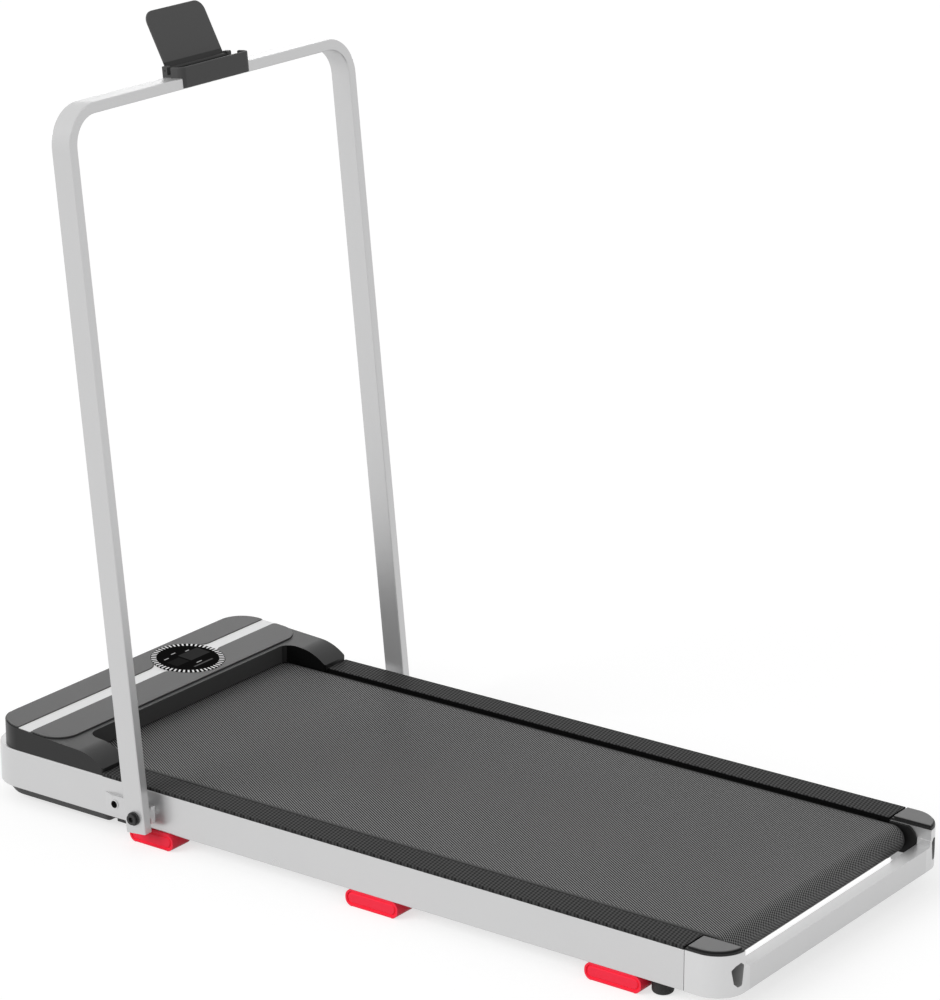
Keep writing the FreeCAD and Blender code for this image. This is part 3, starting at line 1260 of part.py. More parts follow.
# Phone holder
def phone_clip():
    half = CLIP_WIDTH / 2
    lip_half = half + LIP_OVERHANG
    low, base_top = HANDRAIL_TOP - CLIP_SKIRT, HANDRAIL_TOP + CLIP_BASE
    lip_top = HANDRAIL_TOP + CLIP_LIP_HEIGHT
    rear, front = CLIP_REAR_X, CLIP_FRONT_X
    lip_rear = front - CLIP_RETURN
    lip_outline = [
        (lip_rear, -lip_half, 0),
        (front, -lip_half, CLIP_CORNER),
        (front, lip_half, CLIP_CORNER),
        (lip_rear, lip_half, 0),
    ]
    inner = lip_half - CLIP_LIP_WALL
    inner_round = CLIP_CORNER - CLIP_LIP_WALL
    inner_front = front - CLIP_LIP_WALL
    pocket_rear = lip_rear - OVERRUN
    pocket_outline = [
        (pocket_rear, -inner, 0),
        (inner_front, -inner, inner_round),
        (inner_front, inner, inner_round),
        (pocket_rear, inner, 0),
    ]
    pocket = slab(pocket_outline, "xy", base_top, lip_top + OVERRUN)
    wide = (-lip_half - OVERRUN, lip_half + OVERRUN)
    tube_room = box((pocket_rear, front - CLIP_WALL), wide, (low - OVERRUN, HANDRAIL_TOP))
    tray = slab(lip_outline, "xy", low, lip_top).cut([pocket, tube_room])
    tail = box((rear, lip_rear + OVERRUN), (-half, half), (HANDRAIL_TOP, base_top))
    rear_skirt = box((rear, rear + CLIP_WALL), (-half, half), (HANDRAIL_TOP - CLIP_REAR_SKIRT, HANDRAIL_TOP))
    cheek_top = HANDRAIL_TOP + CHEEK_HEIGHT
    cheek = box((rear, rear + CHEEK_DEPTH), (half - CHEEK_WIDTH, half), (HANDRAIL_TOP, cheek_top))
    pin_span = (-half - OVERRUN, half + OVERRUN)
    pin_hole = rod("y", HINGE_PIN_DIAMETER / 2 + FIXED_CLEARANCE, (HINGE_X, HINGE_Z), pin_span)
    body = tray.fuse([tail, rear_skirt, cheek, mirrored(cheek)]).removeSplitter()
    return leaned(body.cut(pin_hole))


def phone_hinge_pin():
    half = CLIP_WIDTH / 2
    return leaned(rod("y", HINGE_PIN_DIAMETER / 2, (HINGE_X, HINGE_Z), (-half, half)))


def phone_plate():
    barrel = rod("y", BARREL_RADIUS, (HINGE_X, HINGE_Z), (-BARREL_HALF, BARREL_HALF))
    face_x = HINGE_X - PLATE_SETBACK
    top = HINGE_Z + PLATE_LENGTH
    outline = [
        (-BARREL_HALF, HINGE_Z, 0),
        (BARREL_HALF, HINGE_Z, 0),
        (BARREL_HALF, top, PLATE_CORNER),
        (-BARREL_HALF, top, PLATE_CORNER),
    ]
    plate = slab(outline, "yz", face_x - PLATE_THICKNESS, face_x)
    flat_edges = [edge for edge in plate.Edges if edge.BoundBox.XLength < SAME_POINT]
    rim = [edge for edge in flat_edges if edge.BoundBox.ZMax > HINGE_Z + OVERRUN]
    pin_hole = rod(
        "y",
        HINGE_PIN_DIAMETER / 2 + SHAFT_CLEARANCE,
        (HINGE_X, HINGE_Z),
        (-BARREL_HALF - OVERRUN, BARREL_HALF + OVERRUN),
    )
    body = plate.makeFillet(PLATE_EDGE, rim).fuse(barrel).removeSplitter().cut(pin_hole)
    return leaned(body.rotated(Vector(HINGE_X, 0, HINGE_Z), Vector(0, 1, 0), -PLATE_LEAN_DEG))


def paired(name, shape):
    """The two pieces of a pair, named by the walker's left and right."""
    return {name.format("left"): mirrored(shape), name.format("right"): shape}


def all_pieces():
    return {
        **paired("{}_rail", right_rail()),
        **paired("front_{}_corner", front_right_corner()),
        **paired("rear_{}_corner", rear_right_corner()),
        **paired("{}_corner_cap", right_corner_cap()),
        **paired("{}_foot_rail", right_foot_rail()),
        **paired("{}_skids", right_skids()),
        **paired("{}_roller_guard", right_roller_guard()),
        **paired("{}_handrail_bracket", right_handrail_bracket()),
        **paired("{}_wheel", right_wheel()),
        "front_bar": front_bar(),
        "rear_bar": rear_bar(),
        "cross_members": cross_members(),
        "rear_feet": rear_feet(),
        "deck_board": deck_board(),
        "deck_cushions": deck_cushions(),
        "deck_screws": deck_screws(),
        "running_belt": running_belt(),
        "drive_roller": roller(DRIVE_X),
        "drive_bearings": roller_bearings(DRIVE_X),
        "drive_pulley": drive_pulley(),
        "drive_axle": drive_axle(),
        "idler_roller": roller(IDLER_X),
        "idler_bearings": roller_bearings(IDLER_X),
        "idler_axle": idler_axle(),
        "tension_bolts": tension_bolts(),
        "bottom_pan": bottom_pan(),
        "wheel_brackets": wheel_brackets(),
        "wheel_axles": wheel_axles(),
        "motor_can": motor_can(),
        "motor_mount": motor_mount(),
        "motor_rotor": motor_rotor(),
        "motor_pulley": motor_pulley(),
        "motor_fan": motor_fan(),
        "drive_belt": drive_belt(),
        "control_board": control_board(),
        "heat_sink": heat_sink(),
        "power_inlet": power_inlet(),
        "power_rocker": power_rocker(),
        "motor_hood": motor_hood(),
        "hood_front_panel": hood_front_panel(),
        "hood_rear_panel": hood_rear_panel(),
        "light_stripe": light_stripe(),
        "display_lens": display_lens(),
        "display_board": display_board(),
        "pivot_bolts": pivot_bolts(),
        "pivot_nuts": pivot_nuts(),
        "handrail_tube": handrail_tube(),
        "leg_inserts": leg_inserts(),
        "phone_clip": phone_clip(),
        "phone_hinge_pin": phone_hinge_pin(),
        "phone_plate": phone_plate(),
    }


os.makedirs("parts", exist_ok=True)
for node, shape in all_pieces().items():
    shape.exportStep(f"parts/{node}.step")
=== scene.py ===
import json
import math

import bmesh
import bpy
from mathutils import Matrix, Vector

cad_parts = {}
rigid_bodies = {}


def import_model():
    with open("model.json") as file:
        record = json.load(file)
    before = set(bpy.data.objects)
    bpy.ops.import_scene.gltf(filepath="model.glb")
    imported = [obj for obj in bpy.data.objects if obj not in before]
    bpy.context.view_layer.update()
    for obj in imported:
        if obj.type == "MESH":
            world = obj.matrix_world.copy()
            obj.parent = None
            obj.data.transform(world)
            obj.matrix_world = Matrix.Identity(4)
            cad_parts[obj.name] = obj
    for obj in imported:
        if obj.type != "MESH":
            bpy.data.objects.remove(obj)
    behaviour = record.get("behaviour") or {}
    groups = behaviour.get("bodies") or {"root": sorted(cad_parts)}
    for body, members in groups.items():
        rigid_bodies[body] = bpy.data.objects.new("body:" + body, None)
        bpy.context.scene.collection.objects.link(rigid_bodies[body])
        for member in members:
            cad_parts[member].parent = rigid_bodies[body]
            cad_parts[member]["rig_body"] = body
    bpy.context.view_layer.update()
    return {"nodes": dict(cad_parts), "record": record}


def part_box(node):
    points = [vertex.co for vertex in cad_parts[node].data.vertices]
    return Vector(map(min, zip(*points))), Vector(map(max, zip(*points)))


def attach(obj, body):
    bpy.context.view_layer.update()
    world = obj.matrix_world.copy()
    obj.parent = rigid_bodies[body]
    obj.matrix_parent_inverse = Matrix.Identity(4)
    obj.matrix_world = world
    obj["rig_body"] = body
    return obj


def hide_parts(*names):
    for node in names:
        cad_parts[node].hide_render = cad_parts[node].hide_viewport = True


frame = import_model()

# Side rails, front corners and front bar: extruded and cast aluminium under one silver powder coat.
# They meet end to end. The coat has a faint orange peel and a fine metal flake.
nodes = frame["nodes"]


class Value:
    """One socket of a node tree; sums and products on it add Math nodes."""

    def __init__(self, owner, socket):
        self.owner = owner
        self.socket = socket

    def math(self, operation, *values, clamp=False):
        settings = {"operation": operation, "use_clamp": clamp}
        return self.owner.node("ShaderNodeMath", settings, dict(enumerate(values)))

    def __add__(self, other):
        return self.math("ADD", self, other)

    def __sub__(self, other):
        return self.math("SUBTRACT", self, other)

    def __rsub__(self, other):
        return self.math("SUBTRACT", other, self)

    def __mul__(self, other):
        return self.math("MULTIPLY", self, other)

    __radd__ = __add__
    __rmul__ = __mul__

    def sine(self):
        return self.math("SINE", self)

    def size(self):
        return self.math("ABSOLUTE", self)

    def largest(self, other):
        return self.math("MAXIMUM", self, other)

    def past(self, limit, soft):
        """Share that grows from 0 to 1 as the value passes a limit."""
        return self.math("MULTIPLY_ADD", self, 1 / soft, 0.5 - limit / soft, clamp=True)


class Nodes:
    """A node tree, to which nodes are added with their settings, values and links."""

    def __init__(self, tree):
        self.tree = tree

    def node(self, kind, settings=None, inputs=None, output=0):
        made = self.tree.nodes.new(kind)
        for name, value in (settings or {}).items():
            setattr(made, name, value)
        for name, value in (inputs or {}).items():
            self.put(made.inputs[name], value)
        return Value(self, made.outputs[output])

    def put(self, socket, value):
        if isinstance(value, Value):
            self.tree.links.new(value.socket, socket)
        else:
            socket.default_value = value


class Finish(Nodes):
    """A material on object coordinates; settled values go straight to its shader's sockets."""

    def __init__(self, name, **settled):
        self.material = bpy.data.materials.new(name)
        self.material.use_nodes = True
        super().__init__(self.material.node_tree)
        self.shader = self.tree.nodes["Principled BSDF"]
        for socket, value in settled.items():
            self.shader.inputs[socket.replace("_", " ")].default_value = value
        self.place = self.node("ShaderNodeTexCoord", output="Object")

    def feed(self, socket, value):
        self.put(self.shader.inputs[socket], value)

    def axes(self):
        split = self.node("ShaderNodeSeparateXYZ", inputs={"Vector": self.place})
        outputs = split.socket.node.outputs
        return [Value(self, outputs[axis]) for axis in "XYZ"]

    def stretched(self, scale):
        return self.node("ShaderNodeMapping", inputs={"Vector": self.place, "Scale": scale})

    def noise(self, scale, detail=2.0, roughness=0.5, place=None):
        inputs = {"Vector": place or self.place, "Scale": scale, "Detail": detail, "Roughness": roughness}
        return self.node("ShaderNodeTexNoise", inputs=inputs)

    def blend(self, share, low, high):
        """Colour between two, by a share of the second."""
        ends = [value if isinstance(value, Value) else (*value, 1) for value in (low, high)]
        inputs = {0: share, 6: ends[0], 7: ends[1]}
        return self.node("ShaderNodeMix", {"data_type": "RGBA"}, inputs, output=2)

    def bump(self, height, depth, strength=1.0):
        inputs = {"Height": height, "Distance": depth, "Strength": strength}
        self.feed("Normal", self.node("ShaderNodeBump", inputs=inputs))


def grey(level, tint=0.0):
    """A grey with a slight tint towards blue."""
    return (level, level, level * (1 + tint))


def dress(finish, *names):
    """Gives CAD nodes a finish in place of the plain one they came with."""
    for name in names:
        nodes[name].data.materials.clear()
        nodes[name].data.materials.append(finish.material)


def silver_coat(name, roughness, level=0.60):
    """Silver coat, from its darkest level up by the sparkle of its flake."""
    sparkle = 0.07
    tint = 0.004
    flake_share = 0.6
    finish = Finish(name, Metallic=0.75)
    flake = finish.noise(scale=2600.0, detail=1.0)
    cloud = finish.noise(scale=9.0)
    share = flake * flake_share + cloud * (1 - flake_share)
    finish.feed("Base Color", finish.blend(share, grey(level, tint), grey(level + sparkle, tint)))
    finish.feed("Roughness", cloud * 0.08 + roughness)
    finish.bump(finish.noise(scale=420.0), depth=0.00004, strength=0.25)
    return finish


silver = silver_coat("silver_coat", roughness=0.25)
dress(silver, "left_rail", "right_rail", "front_bar", "front_left_corner", "front_right_corner")


# Rear corners, rear bar and handrail brackets: aluminium castings in the silver coat, their edges rounded
# over a little. The rear corners' coat is painted one step paler, as a painted highlight. Spigots hold the
# rear corners in the rails. The pockets that lead to the belt's tension bolts are bare metal, and the
# brackets' bores are painted near-black inside, as painted shade in the deep holes.
scene = bpy.context.scene
weld_reach = 0.00001


def finished(name, shape, finish, body):
    """Turns a shape into a piece with smooth faces and crisp edges, riding on a body."""
    crease = math.radians(32)
    for face in shape.faces:
        face.smooth = True
    for edge in shape.edges:
        edge.smooth = len(edge.link_faces) == 2 and edge.calc_face_angle() < crease
    mesh = bpy.data.meshes.new(name)
    shape.to_mesh(mesh)
    shape.free()
    mesh.materials.append(finish.material)
    piece = bpy.data.objects.new(name, mesh)
    scene.collection.objects.link(piece)
    even = piece.modifiers.new("even_normals", "WEIGHTED_NORMAL")
    even.keep_sharp = True
    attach(piece, body)
    return piece


def merged(name):
    """Closed copy of a CAD node's mesh, its flat faces made whole."""
    shape = bmesh.new()
    shape.from_mesh(nodes[name].data)
    flat = math.radians(1.0)
    bmesh.ops.remove_doubles(shape, verts=shape.verts, dist=weld_reach)
    bmesh.ops.dissolve_limit(shape, angle_limit=flat, verts=shape.verts, edges=shape.edges)
    return shape


def round_over(shape, edges, width, segments):
    bmesh.ops.bevel(
        shape,
        geom=edges,
        offset=width,
        segments=segments,
        profile=0.5,
        affect="EDGES",
        clamp_overlap=True,
        material=-1,
    )


def sharp_edges(shape):
    crease = math.radians(40)
    return [edge for edge in shape.edges if len(edge.link_faces) == 2 and edge.calc_face_angle() > crease]


def stand_in(name, shape, finish):
    """A shape that stands for the CAD node of the same name."""
    piece = finished(name + "_form", shape, finish, nodes[name]["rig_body"])
    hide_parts(name)
    return piece


def softened(finish, width, segments, *names):
    """CAD nodes with all their sharp edges rounded over."""
    for name in names:
        shape = merged(name)
        round_over(shape, sharp_edges(shape), width, segments)
        stand_in(name, shape, finish)


def spark_grain(finish, roughness):
    """Fine grain of a spark-eroded mould, in sheen and height; given back for the colour."""
    speck = finish.noise(scale=1500.0)
    finish.feed("Roughness", speck * 0.10 + roughness)
    finish.bump(speck, depth=0.00006, strength=0.5)
    return speck


def moulded_plastic(name, dark, pale, roughness, **settled):
    finish = Finish(name, **settled)
    speck_share = 0.5
    cloud = finish.noise(scale=14.0)
    speck = spark_grain(finish, roughness)
    finish.feed("Base Color", finish.blend(cloud * (1 - speck_share) + speck * speck_share, dark, pale))
    return finish


casting_edge = 0.0009
butt_reach = 0.0002
pocket_sides = (0.2305, 0.2510)
pocket_heights = (0.0350, 0.0675)
pocket_depth = 0.030
bore_slack = 0.0001
bar_low, bar_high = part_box("rear_bar")
accessory_bores = [mount for mount in frame["record"]["mounts"] if mount["name"].endswith("accessory_hole")]
bore_middle = Vector(accessory_bores[0]["pos_m"])
bore_radius = accessory_bores[0]["dims"]["r_mm"] / 1000


def on_butt(edge):
    """Edges of the flush butt between rear bar and corners, which stay crisp."""
    sides = [end.co.y for end in edge.verts]
    return all(min(abs(side - bar_low.y), abs(side - bar_high.y)) < butt_reach for side in sides)


def in_access_pocket(place):
    across = pocket_sides[0] < abs(place.y) < pocket_sides[1]
    upright = pocket_heights[0] < place.z < pocket_heights[1]
    return across and upright and place.x > bar_high.x - pocket_depth


def in_accessory_bore(place):
    return math.hypot(place.x - bore_middle.x, place.z - bore_middle.z) < bore_radius + bore_slack


def casting(name, coat, core, in_core):
    """Coated casting with another finish on the faces that lie wholly in its core."""
    shape = merged(name)
    for face in shape.faces:
        face.material_index = int(all(in_core(corner.co) for corner in face.verts))
    edges = [edge for edge in sharp_edges(shape) if not on_butt(edge)]
    round_over(shape, edges, casting_edge, segments=2)
    stand_in(name, shape, coat).data.materials.append(core.material)


casting_core = moulded_plastic("casting_core", dark=grey(0.34), pale=grey(0.50), roughness=0.40)
# Painted shade: the walls of the brackets' bores are near-black.
bore_shade = moulded_plastic("bore_shade", dark=grey(0.012), pale=grey(0.030), roughness=0.45)
# Painted highlight: the rear corners get the silver coat a step paler than the rest.
corner_coat_painted_highlight = silver_coat("corner_coat_painted_highlight", roughness=0.25, level=0.66)
for name in ("rear_left_corner", "rear_right_corner"):
    casting(name, corner_coat_painted_highlight, casting_core, in_access_pocket)
casting("rear_bar", silver, casting_core, in_access_pocket)
for name in ("left_handrail_bracket", "right_handrail_bracket"):
    casting(name, silver, bore_shade, in_accessory_bore)


# Edge strip on the rear bar: a milky white strip let into the bar's inner edge that glows faintly, though
# it is no lamp, as painted light that fills the slot with white. It closes most of the slot between the bar
# and the belt, up to the far roller guard.
def glowing_white_strip():
    # Painted light: the strip glows, though it is no lamp.
    finish = Finish("glowing_white_strip", Specular_IOR_Level=0.1, Emission_Strength=0.5)
    haze = finish.noise(scale=300.0, detail=3.0)
    pearl_glow = finish.blend(haze, grey(0.95), grey(1.0))
    finish.feed("Base Color", pearl_glow)
    finish.feed("Emission Color", pearl_glow)
    finish.feed("Roughness", haze * 0.2 + 0.4)
    return finish


strip_thickness = 0.0016
strip_embed = 0.0010
strip_rise = 0.0058
strip_grip = 0.010
strip_edge = 0.0005
strip_ends = (-0.2165, 0.157)
strip_size = (strip_thickness, strip_ends[1] - strip_ends[0], strip_rise + strip_grip)
strip_middle = (
    bar_low.x + strip_embed - strip_thickness / 2,
    sum(strip_ends) / 2,
    bar_high.z + (strip_rise - strip_grip) / 2,
)
strip = bmesh.new()
bmesh.ops.create_cube(strip, size=1.0)
bmesh.ops.scale(strip, vec=strip_size, verts=strip.verts)
bmesh.ops.translate(strip, vec=strip_middle, verts=strip.verts)
round_over(strip, sharp_edges(strip), strip_edge, segments=2)
finished("rear_edge_strip", strip, glowing_white_strip(), "deck_frame")


# Corner caps: grey moulded covers pressed onto the rear corners in two tiers.
# The top is satin and paler, and the stepped rim below it is dark.
def cap_plastic():
    finish = Finish("cap_plastic", Specular_IOR_Level=0.3)
    top_depth = 0.0008
    rim_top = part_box("left_corner_cap")[1].z - top_depth
    speck = spark_grain(finish, roughness=0.38)
    top = finish.blend(speck, grey(0.138), grey(0.154))
    rim = finish.blend(speck, grey(0.012), grey(0.020))
    height = finish.axes()[2]
    finish.feed("Base Color", finish.blend(height.past(rim_top, soft=0.0005), rim, top))
    return finish


dress(cap_plastic(), "left_corner_cap", "right_corner_cap")


# Foot rails: black rubber strips to step on, laid along the rails' tops.
# The tread is a moulded lattice of small lozenges, which runs down over the outer edge.
# The inner sides are plain black.
def ridges(along, across, counts):
    """Sine wave with so many ridges to the metre along the deck and across it."""
    return (along * (counts[0] * math.tau) + across * (counts[1] * math.tau)).sine()


def foot_rail_rubber():
    finish = Finish("foot_rail_rubber", Specular_IOR_Level=0.10)
    tread_depth = 0.0010
    lip_width = 0.0025
    steep_height, level_height = 0.34, 0.22
    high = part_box("right_foot_rail")[1]
    x, y, z = finish.axes()
    steep = ridges(x, y, counts=(185, 35))
    level = ridges(x, y, counts=(69, 193))
    lattice = steep * steep_height + level * level_height + 0.5
    raised = z.past(high.z - tread_depth, soft=0.0006)
    outer = y.size().past(high.y - lip_width, soft=0.001)
    tread = raised.largest(outer)
    weave = finish.blend(lattice, grey(0.005), grey(0.064))
    finish.feed("Base Color", finish.blend(tread, grey(0.002), weave))
    finish.feed("Roughness", 0.70 - lattice * 0.10)
    finish.bump(lattice * tread, depth=0.0005, strength=0.6)
    return finish


dress(foot_rail_rubber(), "left_foot_rail", "right_foot_rail")


# Deck board: pressed wood with a slippery black film, on rubber cushions over steel cross members.
# Countersunk screws hold it down; none of this shows but for the board's dark edges.
def deck_film():
    finish = Finish("deck_film", Roughness=0.55, Specular_IOR_Level=0.05)
    fibre = finish.noise(scale=60.0, detail=4.0, place=finish.stretched((1, 0.15, 1)))
    finish.feed("Base Color", finish.blend(fibre, grey(0.002), grey(0.006)))
    finish.bump(fibre, depth=0.0001, strength=0.3)
    return finish


def bare_metal(name, dark, pale, roughness, along):
    """Metal with fine tool marks, drawn out along the axis whose scale is small."""
    finish = Finish(name, Metallic=1.0)
    marks = finish.noise(scale=700.0, detail=3.0, place=finish.stretched(along))
    finish.feed("Base Color", finish.blend(marks, dark, pale))
    finish.feed("Roughness", marks * 0.15 + roughness)
    finish.bump(marks, depth=0.00004, strength=0.4)
    return finish


def black_rubber(name, level):
    finish = Finish(name, Specular_IOR_Level=0.3)
    contrast = 0.3
    speck = finish.noise(scale=1100.0, detail=3.0)
    dark, pale = grey(level * (1 - contrast)), grey(level * (1 + contrast))
    finish.feed("Base Color", finish.blend(speck, dark, pale))
    finish.feed("Roughness", speck * 0.12 + 0.58)
    finish.bump(speck, depth=0.00008, strength=0.5)
    return finish


dress(deck_film(), "deck_board")
cushion_rubber = black_rubber("cushion_rubber", level=0.02)
dress(cushion_rubber, "deck_cushions")
black_steel = moulded_plastic("black_steel", grey(0.020), grey(0.032), roughness=0.34, Metallic=0.4)
dress(black_steel, "cross_members")
steel = bare_metal("turned_steel", grey(0.42), grey(0.58), roughness=0.24, along=(1, 1, 0.1))
dress(steel, "deck_screws")

# Rollers: ground steel tubes on ball bearings, running on fixed axles.
# The rear axle is drawn back by two hexagon bolts, reached through the pockets in the rear corners.
ground_steel = bare_metal("ground_steel", grey(0.46), grey(0.60), roughness=0.20, along=(1, 0.04, 1))
dress(ground_steel, "drive_roller", "idler_roller", "drive_axle", "idler_axle")
dress(steel, "drive_bearings", "idler_bearings")
zinc_bolt = bare_metal("zinc_bolt", grey(0.20), grey(0.34), roughness=0.30, along=(0.1, 1, 1))
dress(zinc_bolt, "tension_bolts")


# Running belt: one rubber sheet with fine diagonal ribs and a cross thread, run as a closed loop. It passes
# over the drive roller under the hood and turns down over the rear roller, where the thread's light and
# dark are painted stronger, as painted highlights on the curved ribs; its two edges are a plain selvage.
def belt_weave():
    finish = Finish("belt_weave", Specular_IOR_Level=0.12)
    selvage_width = 0.0043
    selvage_level = 0.28
    rib_height, thread_height = 0.5, 0.10
    rib_level, base_level = 0.88, 0.06
    flat_thread, turn_highlight_rise = 0.06, 0.26
    belt_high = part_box("running_belt")[1]
    roller_low, roller_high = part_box("idler_roller")
    roller = (roller_low + roller_high) / 2
    x, y, z = finish.axes()
    over = (x - roller.x).largest(0.0)
    turned = over.math("ARCTAN2", over, z - roller.z)
    along = x - over + turned * (belt_high.x - roller.x)
    ribs = ridges(along, y, counts=(152.8, 259.0))
    threads = ridges(along, y, counts=(245, -150))
    height = ribs * rib_height + threads * thread_height + 0.5
    # Painted highlight: the thread's contrast rises where the belt turns down over the rear roller.
    thread_tone_and_turn_highlight = turned.past(0.5, soft=0.6) * turn_highlight_rise + flat_thread
    crest = ribs.past(0.26, soft=0.4) * rib_level + threads * thread_tone_and_turn_highlight + base_level
    selvage = y.size().past(belt_high.y - selvage_width, soft=0.003)
    crest = crest * (1 - selvage) + selvage * selvage_level
    worn = finish.noise(scale=3.0, detail=3.0)
    pale = finish.blend(worn, grey(0.245), grey(0.285))
    finish.feed("Base Color", finish.blend(crest.largest(0.0), grey(0.002), pale))
    finish.feed("Roughness", 0.72 - crest * 0.12)
    finish.bump(height, depth=0.0004, strength=0.6)
    return finish


dress(belt_weave(), "running_belt")

# Roller guards: black moulded cheeks that close the slots beside the rear roller.
# They are held between rail and roller end, and their edges are softly rounded.
guard_edge = 0.0008
black_plastic = moulded_plastic(
    "black_plastic", dark=grey(0.006), pale=grey(0.011), roughness=0.46, Specular_IOR_Level=0.25
)
softened(black_plastic, guard_edge, 2, "left_roller_guard", "right_roller_guard")

# Motor: a grey painted can in a steel cradle, its rotor carrying the small pulley and a fan.
# A ribbed belt drives the front roller's pulley beside it; all of it is under the hood.
dress(moulded_plastic("motor_paint", dark=grey(0.10), pale=grey(0.13), roughness=0.36), "motor_can")
rotor_steel = bare_metal("rotor_steel", grey(0.30), grey(0.38), roughness=0.28, along=(1, 0.05, 1))
dress(rotor_steel, "motor_rotor")
dress(black_steel, "motor_mount")
dress(black_plastic, "motor_fan")
dress(ground_steel, "motor_pulley", "drive_pulley")
dress(cushion_rubber, "drive_belt")


# Control board and display board: green laminate with faint copper runs under the lacquer.
# The heat sink on the control board is sawn from an aluminium extrusion.
def green_laminate():
    finish = Finish("green_laminate", Roughness=0.28)
    run_rates = (1400.0, 900.0)
    x, y = finish.axes()[:2]
    runs = (x * run_rates[0]).sine() * (y * run_rates[1]).sine()
    shade = runs.past(0.35, soft=0.1)
    finish.feed("Base Color", finish.blend(shade, (0.012, 0.085, 0.030), (0.035, 0.16, 0.06)))
    finish.bump(shade, depth=0.00004, strength=0.4)
    return finish


dress(green_laminate(), "control_board", "display_board")
sawn_aluminium = bare_metal("sawn_aluminium", grey(0.52), grey(0.62), roughness=0.32, along=(1, 0.06, 1))
dress(sawn_aluminium, "heat_sink")

# Motor hood: one black moulded shell with two arms that run back beside the belt. The arms fall away in a
# soft curve, and the throat over the belt is rounded over. The wall that faces the walker is matt and
# painted paler than the shell, as painted light on it, and the arms' inner sides are painted near-black, as
# painted shade of an unlit recess.
hood_plastic = moulded_plastic(
    "hood_plastic", dark=grey(0.010), pale=grey(0.015), roughness=0.30, Specular_IOR_Level=0.34
)
# Painted shade: the arms' inner sides are near-black, as in an unlit recess.
throat_painted_shade = moulded_plastic(
    "throat_painted_shade", dark=grey(0.002), pale=grey(0.004), roughness=0.60, Specular_IOR_Level=0.05
)
# Painted light: the wall facing the walker is paler than the rest of the shell.
throat_wall_painted_light = moulded_plastic(
    "throat_wall_painted_light", dark=grey(0.044), pale=grey(0.054), roughness=0.45, Specular_IOR_Level=0.2
)
throat_edge = 0.0030
hood_edge = 0.0007
arm_inside = 0.2235
wall_reach = 0.012
sill_height = 0.009
foot_height = 0.001
wall_facing = 0.97
side_steepness = 0.2
hood_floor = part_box("motor_hood")[0].z
throat_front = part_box("hood_rear_panel")[1].x


def on_throat(edge):
    """Top edges of the throat and of the arms' inner sides."""
    ends = [end.co for end in edge.verts]
    inside = all(end.x > throat_front and abs(end.y) < arm_inside for end in ends)
    return inside and min(end.z for end in ends) > hood_floor + sill_height


def throat_finish(face):
    """Place of a face's finish in the shell's list: 2 on the wall (painted paler, as painted light), 1 on
    the arms' inner sides (painted near-black, as painted shade).
    """
    middle = face.calc_center_median()
    if face.normal.x > wall_facing and abs(middle.x - throat_front) < wall_reach:
        return 2
    beside_belt = middle.x > throat_front + wall_reach and abs(middle.y) < arm_inside
    return int(beside_belt and face.normal.z < side_steepness)


hood = merged("motor_hood")
for face in hood.faces:
    face.material_index = throat_finish(face)
throat = [edge for edge in sharp_edges(hood) if on_throat(edge)]
round_over(hood, throat, throat_edge, segments=4)
above_foot = hood_floor + foot_height
rest = [edge for edge in sharp_edges(hood) if min(end.co.z for end in edge.verts) > above_foot]
round_over(hood, rest, hood_edge, segments=2)
bmesh.ops.remove_doubles(hood, verts=hood.verts, dist=weld_reach)
bmesh.ops.dissolve_degenerate(hood, dist=weld_reach, edges=hood.edges)
shell = stand_in("motor_hood", hood, hood_plastic)
shell.data.materials.append(throat_painted_shade.material)
shell.data.materials.append(throat_wall_painted_light.material)

# Cover panels: two satin grey plates clipped onto the hood's sloping top.
# A pale stripe lies between them and flares round the display.
panel_edge = 0.0006
panel_plastic = moulded_plastic(
    "panel_plastic", dark=grey(0.068), pale=grey(0.080), roughness=0.38, Specular_IOR_Level=0.35
)
softened(panel_plastic, panel_edge, 2, "hood_front_panel", "hood_rear_panel")
dress(moulded_plastic("stripe_plastic", dark=grey(0.78), pale=grey(0.82), roughness=0.34), "light_stripe")


